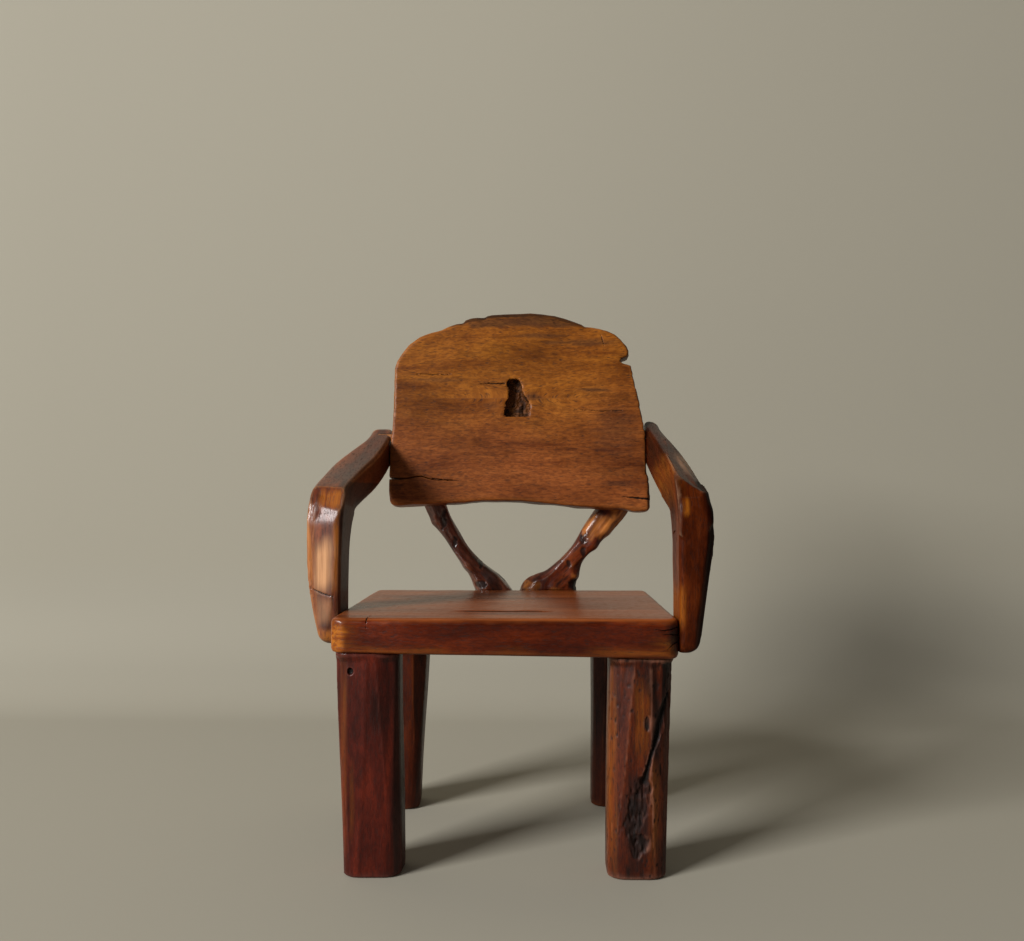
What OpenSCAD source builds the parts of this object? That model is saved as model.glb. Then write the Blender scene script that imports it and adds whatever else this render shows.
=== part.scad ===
// A low armchair made from thick planks and crooked limbs of one hardwood.
// X runs across the chair, its front faces -Y, and +Z is up. The feet stand on z = 0.
// Left and right are as seen by someone who faces the front of the chair.

/* [Seat plank] */
// height of the seat's top above the floor
seat_height = 420; // [380:1:460]
// width of the seat plank
seat_width = 560; // [500:1:620]
// depth of the seat plank, front to rear
seat_depth = 490; // [430:1:540]
// thickness of the seat plank at the middle
seat_thickness = 60; // [50:1:75]
// how much thicker the plank is at its right end than at its left end
seat_taper = 8; // [0:1:14]
// rounding of the plank's long edges
seat_edge = 8; // [4:0.5:12]
// rounding of the plank's upright corners
seat_corner = 22; // [8:1:28]
// how far the middle of the seat lies in front of the chair's middle
seat_forward = 28; // [10:1:60]

/* [Back plank] */
// height of the back's lower edge above the seat
back_gap = 180; // [140:1:220]
// width of the back plank between the arms
back_width = 528; // [470:1:590]
// height of the back plank along its own slope
back_height = 406; // [340:1:480]
// thickness of the back plank
back_thickness = 42; // [34:1:55]
// how far the back leans to the rear, in degrees
back_lean = 8; // [4:0.5:14]
// how far the back's lower rear edge stands behind the seat's rear face
back_behind = 2; // [0:0.5:8]
// how far the back plank sits to the right of the middle
back_right = 14.5; // [0:0.5:20]
// rounding of the back plank's edges
back_edge = 6; // [3:0.5:10]
// height of the bark bevel along the middle of the back's upper edge
bark_bevel = 17; // [8:1:24]
// width of the knot hollow at its foot
knot_width = 52; // [36:1:70]
// height of the knot hollow
knot_height = 79; // [50:1:100]
// depth of the knot hollow
knot_depth = 20; // [8:1:26]
// length of the open crack at the lower left of the back
crack_length = 131; // [40:1:150]
// length of the part of the crack that goes right through the plank
crack_open = 36; // [20:1:60]
// depth of the rest of the crack
crack_depth = 14; // [6:1:24]
// width of that crack at the plank's edge
crack_width = 4.5; // [2:0.5:8]
// depth of the bite in the right edge of the back
bite_depth = 20; // [8:1:30]
// height of the bite's foot above the back's lower edge
bite_rise = 290; // [280:1:296]
// height of the bite's mouth
bite_mouth = 34; // [20:1:38]
// how far the back's edge stands inside the arm's joint face at the bite
bite_inset = 32; // [28:1:36]

/* [Arms] */
// how far the left arm's front stands behind the seat's front face
left_setback = 98; // [60:1:130]
// how far the right arm's front stands behind the seat's front face
right_setback = 6; // [2:1:60]
// depth of an arm's post, front to rear
post_depth = 88; // [70:1:104]
// thickness of an arm's post at its widest
post_width = 61; // [48:1:74]
// thickness of an arm at its lower end
post_foot_width = 42; // [34:1:50]
// height of the arm's inner elbow above the seat
elbow_height = 168; // [130:1:200]
// height of the left rail's section, square to its run
left_rail = 66; // [50:1:80]
// height of the right rail's section, square to its run
right_rail = 84; // [60:1:96]
// thickness of a rail where it meets the back
rail_width = 40; // [30:1:52]
// rise of the left rail's underside from the elbow to the back
left_rise = 102; // [60:1:130]
// rise of the right rail's underside from the elbow to the back
right_rise = 100; // [60:1:130]
// rounding of an arm's long edges
arm_edge = 9; // [5:0.5:14]

/* [Branches] */
// width of the left branch where it reaches the back
left_branch_width = 44; // [34:1:52]
// width of the right branch where it reaches the back
right_branch_width = 58; // [46:1:66]
// how far the left branch's upper end stands to the left of the middle
left_branch_out = 190; // [165:1:205]
// how far the right branch's upper end stands to the right of the middle
right_branch_out = 246; // [215:1:255]
// how far the branches' feet reach below the seat's top
branch_foot = 66; // [50:1:66]
// height of a branch's upper end above the back's lower edge
branch_grip = 92; // [70:1:120]

/* [Legs] */
// width of a leg under the seat
leg_width = 105; // [86:1:120]
// width of a leg at the floor
foot_width = 97; // [76:1:110]
// depth of a leg, front to rear
leg_depth = 98; // [80:1:112]
// rounding of a leg's upright edges
leg_edge = 26; // [14:1:36]
// easing of a foot's lower edge
foot_ease = 4; // [2:0.5:7]
// distance of the front legs' middles inside the seat's ends, at the seat
front_leg_end = 58; // [54:1:80]
// how far the front feet stand inside their tops
front_leg_in = 8; // [0:1:16]
// distance of the rear legs' middles inside the seat's ends, at the seat
rear_leg_end = 68; // [54:1:90]
// how far the left rear foot stands outside its top
rear_leg_splay = 14; // [0:1:24]
// distance of the front legs' front faces behind the seat's front face
front_leg_back = 10; // [6:1:30]
// distance of the left rear leg's front face behind the seat's front face
rear_leg_back = 366; // [330:1:380]
// how much further back the right rear leg stands
rear_leg_skew = 20; // [0:1:24]

/* [Joints] */
// diameter of the round tenons between legs and seat
tenon_diameter = 38; // [28:1:46]
// length of a tenon inside the seat
tenon_in_seat = 34; // [20:1:40]
// length of a tenon inside the leg
tenon_in_leg = 44; // [30:1:60]
// diameter of the dowels in the arms
dowel_diameter = 14; // [10:0.5:18]
// length of an arm dowel inside the plank that it enters
dowel_in_plank = 36; // [22:1:38]
// length of an arm dowel inside the arm
dowel_in_arm = 26; // [18:1:30]
// diameter of the pegs through the branches
peg_diameter = 11; // [8:0.5:14]
// length of a peg inside the plank that it enters
peg_in_plank = 26; // [16:1:32]
// how far a peg's head stands proud of the branch
peg_proud = 1; // [0:0.5:4]
// gap between two glued faces
joint_gap = 0.2; // [0.1:0.05:0.3]
// gap around a dowel, tenon or peg in its hole
hole_gap = 0.15; // [0.1:0.05:0.3]
// free space at the blind end of a hole
hole_end = 0.8; // [0.5:0.1:0.9]

/* [Hidden] */

seat_top = seat_height;
seat_front = -seat_forward - seat_depth / 2;
seat_rear = seat_front + seat_depth;
seat_half = seat_width / 2;
back_foot_z = seat_top + back_gap;
back_foot_y = seat_rear + back_behind - back_thickness / cos(back_lean);
back_left = back_right - back_width / 2;
back_side = back_right + back_width / 2;
arm_back_left = -back_left + joint_gap;
arm_back_right = back_side + joint_gap;
arm_seat = seat_half + joint_gap;
arm_foot_z = seat_top - seat_thickness + 4;
front_leg_out = seat_half - front_leg_end;
rear_leg_out = seat_half - rear_leg_end;
peg_grip = 1.6; // a branch stands this much off flat to clear a plank's rounded edge

// small helpers
function mix(a, b, t) = a + (b - a) * t;
function between(t, lo, hi) = max(lo, min(hi, t));
function curve(a, b, c, d, t) = 0.5 * (2 * b + (c - a) * t
    + (2 * a - 5 * b + 4 * c - d) * t * t + (3 * b - a - 3 * c + d) * t * t * t);
// a smooth walk through the rows of a list, s from 0 to len(list) - 1
function walk(l, s) =
    let (n = len(l) - 1, i = min(n - 1, floor(s)), t = s - i)
    curve(l[max(0, i - 1)], l[i], l[i + 1], l[min(n, i + 2)], t);

// a four-sided outline with one rounding for each corner, steps pieces in each rounding
function eased(x0, x1, y0, y1, r, steps) = [
    for (c = [0:3])
        let (
            cx = (c == 0 || c == 3) ? x1 - r[c] : x0 + r[c],
            cy = c < 2 ? y1 - r[c] : y0 + r[c]
        )
        for (i = [0:steps]) let (a = 90 * c + 90 * i / steps) [cx + r[c] * cos(a), cy + r[c] * sin(a)]
];

// a closed skin over a stack of rings that all have the same number of points
module skin(rings) {
    n = len(rings[0]);
    m = len(rings);
    polyhedron(
        points = [for (r = rings) each r],
        faces = concat(
            [[for (i = [0:n - 1]) i]],
            [for (k = [0:m - 2], i = [0:n - 1]) [
                k * n + i, (k + 1) * n + i, (k + 1) * n + (i + 1) % n, k * n + (i + 1) % n
            ]],
            [[for (i = [n - 1:-1:0]) (m - 1) * n + i]]
        ),
        convexity = 10
    );
}
module skin_for(side, rings) {
    skin(side > 0 ? rings : [for (r = rings) [for (i = [len(r) - 1:-1:0]) r[i]]]);
}

// seat plank
// the underside falls a little from left to right
function seat_under(x) = seat_top - seat_thickness - seat_taper * x / seat_width;
seat_stops = [0, 1, 3, 6, 10, 15, 22, 32, 60, 120, 200];
function seat_ease(d, r) = d >= r ? 0 : r - sqrt(max(0, r * r - (r - d) * (r - d)));
function seat_row(x) =
    let (
        d = seat_half - abs(x),
        inset = seat_ease(d, seat_corner),
        lift = seat_ease(d, seat_edge),
        wave = 2 * sin(x * 1.1 + 20) + 1.2 * sin(x * 2.7),
        e = seat_edge - lift * 0.5,
        ring = eased(
            seat_front + inset + wave, seat_rear - inset + wave * 0.4,
            seat_under(x) + lift, seat_top - lift, [e, e + 1, e - 1, e], 5
        )
    )
    [for (p = ring) [x, p[0], p[1]]];
seat_rows = concat(
    [for (s = seat_stops) -seat_half + s],
    [0],
    [for (i = [len(seat_stops) - 1:-1:0]) seat_half - seat_stops[i]]
);

// places of the two dowels between an arm and the seat
function arm_setback(side) = side < 0 ? left_setback : right_setback;
function seat_dowels(side) =
    let (y = seat_front + arm_setback(side) + post_depth / 2, z = (seat_top + seat_under(side * seat_half)) / 2)
    [[y - 20, z], [y + 20, z]];

module seat_plank() {
    color([0.36, 0.16, 0.08]) difference() {
        skin([for (x = seat_rows) seat_row(x)]);
        for (l = legs) translate([l[0], l[1], 0])
            translate([0, 0, seat_under(l[0]) - 20])
                cylinder(h = tenon_in_seat + hole_end + 20, d = tenon_diameter + 2 * hole_gap, $fn = 48);
        for (side = [-1, 1], p = seat_dowels(side))
            translate([side * (seat_half + 10), p[0], p[1]]) rotate([0, -90 * side, 0])
                cylinder(h = dowel_in_plank + hole_end + 10, d = dowel_diameter + 2 * hole_gap, $fn = 32);
        for (side = [-1, 1], p = foot_pegs(side))
            translate([p[0], seat_rear + 10, p[1]]) rotate([90, 0, 0])
                cylinder(h = peg_in_plank + hole_end + 10, d = peg_diameter + 2 * hole_gap, $fn = 32);
    }
}

// legs
// middle at the seat (x, y), middle at the floor (x, y), and a number that sets its own unevenness
legs = [
    [-front_leg_out, seat_front + front_leg_back + leg_depth / 2,
        -front_leg_out + front_leg_in, seat_front + front_leg_back + leg_depth / 2 - 1, 1],
    [front_leg_out, seat_front + front_leg_back + leg_depth / 2,
        front_leg_out - front_leg_in, seat_front + front_leg_back + leg_depth / 2 - 1, 2],
    [-rear_leg_out, seat_front + rear_leg_back + leg_depth / 2,
        -rear_leg_out - rear_leg_splay, seat_front + rear_leg_back + leg_depth / 2 - 4, 3],
    [rear_leg_out + 3, seat_front + rear_leg_back + rear_leg_skew + leg_depth / 2,
        rear_leg_out - 2, seat_front + rear_leg_back + rear_leg_skew + leg_depth / 2, 4]
];
leg_heights = [0, 0.008, 0.016, 0.1, 0.25, 0.42, 0.6, 0.78, 0.9, 1];
function leg_ring(l, t) =
    let (
        w = mix(foot_width, leg_width, t) / 2,
        d = mix(foot_width / leg_width, 1, t) * leg_depth / 2,
        ease = t < 0.012 ? foot_ease * (1 - t / 0.012) : 0,
        sway = 1.6 * sin(200 * t + 90 * l[4]),
        cx = mix(l[2], l[0], t) + sway * t * (1 - t) * 3,
        cy = mix(l[3], l[1], t),
        ring = eased(-w + ease, w - ease, -d + ease, d - ease, [for (k = [0:3]) leg_edge + 3 * sin(97 * (k + l[4]))], 4)
    )
    [for (i = [0:len(ring) - 1])
        let (
            p = ring[i],
            a = atan2(p[1], p[0]),
            grow = 1 + 0.012 * sin(3 * a + 70 * l[4] + 90 * t) + 0.008 * sin(5 * a - 140 * t + 40 * l[4]),
            x = cx + p[0] * grow,
            y = cy + p[1] * grow
        )
        [x, y, t * (seat_under(x) - joint_gap)]];

module leg(i) {
    l = legs[i];
    color([0.30, 0.10, 0.07]) difference() {
        skin([for (t = leg_heights) leg_ring(l, t)]);
        translate([l[0], l[1], seat_under(l[0]) - tenon_in_leg - hole_end])
            cylinder(h = tenon_in_leg + hole_end + 20, d = tenon_diameter + 2 * hole_gap, $fn = 48);
    }
}
module tenon(i) {
    l = legs[i];
    color([0.62, 0.42, 0.24]) translate([l[0], l[1], seat_under(l[0]) - tenon_in_leg])
        cylinder(h = tenon_in_leg + tenon_in_seat, d = tenon_diameter, $fn = 48);
}

// back plank
// Columns across the plank: distance from its middle, lower edge and upper edge. Both edges are as
// the tree grew, and the columns are stretched to the plank's width and height.
back_columns = [
    [-264, 22, 118], [-263.4, 14, 128], [-261.5, 6, 140], [-259, 1, 152], [-257, -1, 200],
    [-256.4, -2, 284], [-252, -3, 301], [-243, -4, 316], [-227, -3, 336], [-205, -2, 352],
    [-184, -1, 361], [-160, 0, 366], [-145, 1, 374], [-130, 1, 380], [-114, 2, 383], [-111, 2, 390],
    [-97, 4, 395], [-84, 5, 397], [-69, 6, 397], [-65, 6, 401], [-54, 6, 403], [-30, 6, 404],
    [4, 5, 405], [26, 3, 406], [54, 1, 403], [77, 0, 400], [100, -3, 393], [120, -6, 386], [135, -7, 380],
    [137, -7, 375], [154, -8, 371], [171, -8, 369], [187, -9, 364], [202, -9, 356], [215, -10, 345],
    [225, -12, 332], [230, -13, 319], [233, -14, 300], [236, -15, 283], [240, -15, 266], [245, -15, 243],
    [249, -15, 219], [254, -14, 192], [259, -14, 168], [262.5, -13, 152], [264, -13, 138]
];
plank_half = back_columns[len(back_columns) - 1][0];
plank_high = max([for (c = back_columns) c[2]]);
// below the right arm the plank stands out past the joint face in a worn lip
back_lip = [[264, -13, 61], [267, -12, 56], [269, -10, 48], [270, -4, 36]];
function back_x(c) = back_right + c[0] * back_width / 2 / plank_half;
function back_ring(c) =
    let (
        near = min(plank_half - c[0], plank_half + c[0]),
        lift = seat_ease(near, back_edge),
        k = back_height / plank_high,
        e = back_edge - lift * 0.4,
        // the bevel fades in and out over a few millimetres
        bevel = between(min(c[0] + 116, 142 - c[0]) / 6, 0, 1),
        bark = mix(e, bark_bevel, bevel),
        ring = eased(lift, back_thickness - lift, c[1] * k + lift * 0.3, c[2] * k - lift * 0.3, [e, bark, e, e], 4)
    )
    [for (p = ring) [back_x(c), p[0], p[1]]];
function lip_ring(c) =
    let (
        k = back_height / plank_high,
        far = max(0, c[0] - plank_half) * 0.9,
        e = back_edge - 0.5,
        ring = eased(far, back_thickness - far, c[1] * k + far * 0.3, c[2] * k - far * 0.3, [e, e, e, e], 4)
    )
    [for (p = ring) [back_x(c), p[0], p[1]]];

module lean_back() {
    translate([0, back_foot_y, back_foot_z]) rotate([-back_lean, 0, 0]) children();
}
// the middle of the knot hollow's lower edge, and the height of the crack
knot_x = back_right - 1;
knot_z = back_height * 0.448;
crack_z = back_height * 0.13;
// the hollow is a bell: narrow at the top, wide and square at the foot
module knot_outline(grow) {
    w = knot_width / 2 + grow;
    h = knot_height + grow;
    polygon([
        [-w, -grow], [w * 0.96, -grow], [w, h * 0.3], [w * 0.8, h * 0.44], [w * 0.45, h * 0.58],
        [w * 0.3, h * 0.82], [w * 0.12, h * 0.98], [-w * 0.55, h], [-w * 0.82, h * 0.9],
        [-w * 0.7, h * 0.7], [-w * 0.62, h * 0.5], [-w * 0.96, h * 0.34]
    ]);
}
// how far the crack's line rises or falls on its way into the plank, at even steps
crack_bends = [0, -1.2, 3.6, -5, -5.8];
// a thin wedge along that line, from outside the plank's edge to a share of the crack's length
module crack_outline(share) {
    n = 8;
    steps = [for (i = [0:n]) share * i / n];
    function place(t, side) = [
        back_left + t * crack_length,
        crack_z + walk(crack_bends, t * (len(crack_bends) - 1)) + side * crack_width * 0.5 * (1 - t * 0.8)
    ];
    polygon(concat(
        [for (side = [-1, 1]) [back_left - 12, crack_z + side * crack_width * 0.6]],
        [for (t = steps) place(t, 1)],
        [for (i = [n:-1:0]) place(steps[i], -1)]
    ));
}
// the bite: a splinter that broke out of the right edge
module bite_outline() {
    x = back_side - bite_inset * back_width / 2 / plank_half;
    k = back_height / plank_high;
    translate([x, bite_rise * k]) polygon([
        [bite_depth + 6, bite_mouth * 0.94], [5 - bite_depth, bite_mouth * 0.44],
        [-bite_depth, bite_mouth * 0.24], [4 - bite_depth, bite_mouth * 0.12], [0, 0], [bite_depth + 10, -2]
    ]);
}
// heights of the dowels between an arm and the back, measured up the plank
function rail_end_v(side) =
    let (under = rail_under(side, 1), high = under[1] + rail_size(side) / 2)
    (high - back_foot_z) / cos(back_lean);
function back_dowels(side) = [for (k = [-1, 1]) rail_end_v(side) + k * 17];

module back_plank() {
    color([0.50, 0.27, 0.12]) difference() {
        lean_back() difference() {
            union() {
                skin([for (c = back_columns) back_ring(c)]);
                skin(concat([lip_ring([plank_half - 20, -14, 64])], [for (c = back_lip) lip_ring(c)]));
            }
            translate([0, back_thickness + 5, 0]) rotate([90, 0, 0])
                linear_extrude(height = back_thickness + 10) bite_outline();
            translate([knot_x, knot_depth, knot_z]) rotate([90, 0, 0])
                linear_extrude(height = knot_depth + 10) knot_outline(0);
            translate([0, back_thickness + 5, 0]) rotate([90, 0, 0])
                linear_extrude(height = back_thickness + 10) crack_outline(crack_open / crack_length);
            translate([0, crack_depth, 0]) rotate([90, 0, 0])
                linear_extrude(height = crack_depth + 10) crack_outline(1);
            for (v = back_dowels(-1)) translate([back_left - 10, back_thickness / 2, v]) rotate([0, 90, 0])
                cylinder(h = dowel_in_plank + hole_end + 10, d = dowel_diameter + 2 * hole_gap, $fn = 32);
            for (v = back_dowels(1)) translate([back_side + 10, back_thickness / 2, v]) rotate([0, -90, 0])
                cylinder(h = dowel_in_plank + hole_end + 10, d = dowel_diameter + 2 * hole_gap, $fn = 32);
            for (side = [-1, 1], p = head_pegs(side))
                translate([p[0], back_thickness + 10, p[1]]) rotate([90, 0, 0])
                    cylinder(h = peg_in_plank + hole_end + 10, d = peg_diameter + 2 * hole_gap, $fn = 32);
        }
    }
}

// arms
function rail_size(side) = side < 0 ? left_rail : right_rail;
function rail_rise(side) = side < 0 ? left_rise : right_rise;
function rail_end_y(side) = back_foot_y + back_thickness + 34;
// the line of the rail's underside, from the elbow (u = 0) to its end behind the back (u = 1)
function rail_under(side, u) =
    let (
        y0 = seat_front + arm_setback(side) + post_depth + 36,
        z0 = seat_top + elbow_height,
        s = side < 0 ? -7 : -4
    )
    [mix(y0, rail_end_y(side), u), z0 + rail_rise(side) * u + s * sin(180 * u)];
// One row for each station of the limb, from its lower end to the back:
// front or top line (y, z), rear or under line (y, z), inner face x, outer face x, outer rounding.
function arm_rows(side) =
    let (
        f = seat_front + arm_setback(side),
        r = f + post_depth,
        e = seat_top + elbow_height,
        b = arm_foot_z,
        w = arm_seat + post_width,
        wf = arm_seat + post_foot_width,
        xb = side < 0 ? arm_back_left : arm_back_right,
        size = rail_size(side),
        tip = xb + rail_width + (side < 0 ? 4 : -8),
        bulge = side < 0 ? 0 : 1,
        soft = side < 0 ? 0 : 9,
        // how far the post has swelled from its foot's thickness to its full one
        swell = side < 0 ? [0.37, 0.78, 0.97, 1] : [-0.05, 0.27, 0.66, 0.85],
        // how far the elbow leans in, and how much thinner the knee is than the post
        elbow_in = side < 0 ? 6 : 2,
        knee_in = side < 0 ? 4 : 14,
        foot_in = side < 0 ? 0 : 6,
        spread = side < 0 ? [0, 0, 0.12, 0.46, 0.86, 1] : [0, 0.06, 0.24, 0.56, 0.86, 1],
        slope = atan2(rail_rise(side), rail_end_y(side) - r - 36)
    )
    concat(
        [
            [f + 12, b, r - 12, b, arm_seat, wf - 17 - foot_in, 7],
            [f + 4, b + 7, r - 4, b + 7, arm_seat, wf - 7 - foot_in, 8],
            [f + 1, b + 22, r - 1, b + 22, arm_seat, wf - foot_in, 10],
            [f, b + 52, r, b + 52, arm_seat, mix(wf, w, swell[0]), 11],
            [f, b + 100, r + 1, b + 98, arm_seat, mix(wf, w, swell[1]), 12],
            [f, b + 150, r + 2, b + 145, arm_seat - 1, mix(wf, w, swell[2]), 13],
            [f + 1, e - 34, r + 3, e - 52, arm_seat - elbow_in * 0.4, mix(wf, w, swell[3]), 14],
            [f + 3, e + 2, r + 8, e - 30, arm_seat - elbow_in * 0.7, w - 1 - 6 * bulge, 15],
            [f + 9, e + 20, r + 14, e - 18, arm_seat - elbow_in * 0.9, w - 2 - 9 * bulge, 16],
            [f + 24, e + 38 + 3 * bulge, r + 24, e - 8, arm_seat - elbow_in, w - 3 - 10 * bulge, 15 + soft * 0.3],
            [f + 52, e + 50 + 10 * bulge, r + 36, e + 1, arm_seat - elbow_in, w - knee_in, 13 + soft * 0.7]
        ],
        [for (k = [1:5])
            let (
                u = [0, 0.2, 0.42, 0.64, 0.84, 1][k],
                p = rail_under(side, u),
                turn = mix(slope, 8, max(0, (u - 0.6) / 0.4)),
                inner = [0, 0.25, 0.62, 0.86, 1, 1][k]
            )
            [p[0] - size * sin(turn), p[1] + size * cos(turn), p[0], p[1],
                mix(arm_seat - elbow_in, xb, inner),
                mix(w - knee_in, tip, spread[k]), 12 + soft]
        ],
        // the worn, eased end behind the back plank
        [let (p = rail_under(side, 1), q = [-size * sin(8), size * cos(8)])
            [p[0] + q[0] * 0.93 + 6, p[1] + q[1] * 0.93 + 1, p[0] + q[0] * 0.07 + 6, p[1] + q[1] * 0.07 + 1,
                xb, tip - 5, 10 + soft * 0.6]]
    );
// one ring of an arm, never past the faces of the seat and back that it lies against
function arm_ring(side, row) =
    let (
        f = [row[0], row[1]],
        r = [row[2], row[3]],
        long = norm(r - f),
        e = arm_edge,
        face = side < 0 ? arm_back_left : arm_back_right,
        inner = max(row[4], row[1] < seat_top + 30 ? arm_seat : face),
        ring = eased(inner, row[5], 0, long, [e, e, e, row[6]], 4)
    )
    [for (p = ring)
        let (t = p[1] / long)
        [side * p[0], mix(f[0], r[0], t), mix(f[1], r[1], t)]];
module arm(side) {
    rows = arm_rows(side);
    n = len(rows) - 1;
    fine = 3;
    xb = side < 0 ? arm_back_left : arm_back_right;
    color([0.42, 0.20, 0.09]) difference() {
        skin_for(side, [for (i = [0:n * fine]) arm_ring(side, walk(rows, i / fine))]);
        for (p = seat_dowels(side))
            translate([side * (seat_half - 10), p[0], p[1]]) rotate([0, 90 * side, 0])
                cylinder(h = dowel_in_arm + hole_end + 10 + joint_gap, d = dowel_diameter + 2 * hole_gap, $fn = 32);
        lean_back() for (v = back_dowels(side))
            translate([side * (xb - 10), back_thickness / 2, v]) rotate([0, 90 * side, 0])
                cylinder(h = dowel_in_arm + hole_end + 10, d = dowel_diameter + 2 * hole_gap, $fn = 32);
    }
}
module seat_dowel_pair(side) {
    color([0.62, 0.42, 0.24]) for (p = seat_dowels(side))
        translate([side * (seat_half - dowel_in_plank), p[0], p[1]]) rotate([0, 90 * side, 0])
            cylinder(h = dowel_in_plank + dowel_in_arm, d = dowel_diameter, $fn = 32);
}
module back_dowel_pair(side) {
    xb = side < 0 ? arm_back_left : arm_back_right;
    color([0.62, 0.42, 0.24]) lean_back() for (v = back_dowels(side))
        translate([side * (xb - joint_gap - dowel_in_plank), back_thickness / 2, v]) rotate([0, 90 * side, 0])
            cylinder(h = dowel_in_plank + dowel_in_arm, d = dowel_diameter, $fn = 32);
}

// branches
// Rows from the lower end up: x, height above the seat's top, half width and half depth. The rows are
// stretched to the gap under the back, to the branch's reach and to its width.
left_branch_rows = [
    [-30, -66, 20, 15], [-27, -54, 30, 22], [-28, -34, 36, 27], [-33, -8, 40, 29],
    [-45, 14, 33, 25], [-72, 42, 20, 19], [-103, 77, 16, 16], [-124, 111, 17, 17],
    [-145, 146, 20, 18], [-158, 176, 22, 18], [-169, 204, 22, 17], [-180, 240, 20, 16],
    [-187, 262, 15, 12], [-190, 270, 9, 8]
];
right_branch_rows = [
    [72, -66, 26, 16], [74, -54, 42, 23], [76, -34, 55, 28], [78, -8, 61, 30],
    [84, 10, 55, 28], [101, 24, 38, 24], [116, 44, 27, 20], [132, 66, 20, 17], [151, 89, 20, 17],
    [173, 116, 25, 19], [196, 145, 28, 20], [217, 172, 29, 19], [231, 206, 26, 18],
    [240, 242, 22, 16], [245, 262, 16, 12], [246, 270, 10, 8]
];
branch_low = left_branch_rows[0][1];
branch_high = left_branch_rows[len(left_branch_rows) - 1][1];
// the row height at which a branch reaches the back's lower edge
branch_mid = 178;
function branch_rows(side) = side < 0 ? left_branch_rows : right_branch_rows;
function branch_out(side) =
    let (rows = branch_rows(side))
    (side < 0 ? left_branch_out : right_branch_out) / abs(rows[len(rows) - 1][0]);
function branch_thick(side) = side < 0
    ? left_branch_width / 2 / left_branch_rows[9][2]
    : right_branch_width / 2 / right_branch_rows[11][2];
function branch_z(h) = h <= 0 ? seat_top + h * branch_foot / -branch_low
    : h <= branch_mid ? seat_top + h * back_gap / branch_mid
    : back_foot_z + (h - branch_mid) * branch_grip / (branch_high - branch_mid);
// a row at its real size
function branch_row(side, q) =
    [q[0] * branch_out(side), branch_z(q[1]), q[2] * branch_thick(side), q[3] * branch_thick(side)];
function back_rear_y(z) = seat_rear + back_behind + max(0, z - back_foot_z - back_thickness * sin(back_lean)) * tan(back_lean);
// the planes that a branch lies flat against: the seat's rear face below, the back's rear face above
function branch_wall(z) =
    z < seat_top - 4 ? seat_rear + joint_gap + peg_grip
    : z > back_foot_z + 14 ? back_rear_y(z) + joint_gap / cos(back_lean)
    : seat_rear + joint_gap + peg_grip;
function branch_middle(z, deep) =
    let (t = between((z - seat_top) / back_gap, 0, 1))
    mix(seat_rear, back_rear_y(z), t) + deep * 0.8 + 4 * sin(180 * t);
function branch_ring(side, s) =
    let (
        rows = branch_rows(side),
        q = branch_row(side, walk(rows, s)),
        ahead = branch_row(side, walk(rows, min(len(rows) - 1, s + 0.1))),
        behind = branch_row(side, walk(rows, max(0, s - 0.1))),
        run = [ahead[0] - behind[0], ahead[1] - behind[1]],
        // the spread-out foot stands upright, whichever way the branch leaves it
        upright = between(1 - (q[1] - seat_top) / branch_foot, 0, 1),
        dir = let (v = run / norm(run) * (1 - upright) + [0, 1] * upright) v / norm(v),
        z = q[1],
        y = branch_middle(z, q[3]),
        n = 20
    )
    [for (i = [0:n - 1])
        let (
            a = 360 * i / n,
            k = 1 + 0.05 * sin(3 * a + 70 * s) + 0.025 * sin(5 * a - 100 * s),
            across = q[2] * k * cos(a),
            x1 = q[0] + across * dir[1],
            z1 = z - across * dir[0],
            y1 = y + q[3] * k * sin(a)
        )
        [x1, max(y1, branch_wall(z1)), z1]];
// one number of a branch's row at height z: 0 is its x, 2 its half width, 3 its half depth
function branch_at(side, z, k) =
    lookup(z, [for (q = branch_rows(side)) let (b = branch_row(side, q)) [b[1], b[k]]]);
// the places (x, z) of the pegs in the seat's rear face: to both sides of the foot's middle, one higher
function foot_pegs(side) =
    [for (k = [-1, 1])
        let (z = seat_top - branch_foot * (0.47 + 0.1 * k * side))
        [branch_at(side, z, 0) + k * 0.42 * branch_at(side, z, 2), z]];
// the places (x, height up the plank) of the pegs in the back
function head_pegs(side) =
    [for (share = [0.37, 0.74])
        let (v = share * branch_grip)
        [branch_at(side, back_foot_z + v * cos(back_lean) - back_thickness * sin(back_lean), 0), v]];
function bark_y(side, x, z) =
    let (
        across = (x - branch_at(side, z, 0)) / branch_at(side, z, 2),
        deep = branch_at(side, z, 3)
    )
    branch_middle(z, deep) + deep * sqrt(max(0.2, 1 - across * across));
function foot_peg_out(side, p) = bark_y(side, p[0], p[1]) - seat_rear + peg_proud;
function head_peg_out(side, p) =
    let (z = back_foot_z + p[1] * cos(back_lean) - back_thickness * sin(back_lean) - 2)
    (bark_y(side, p[0], z) - back_rear_y(z)) * cos(back_lean) + peg_proud;

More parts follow.
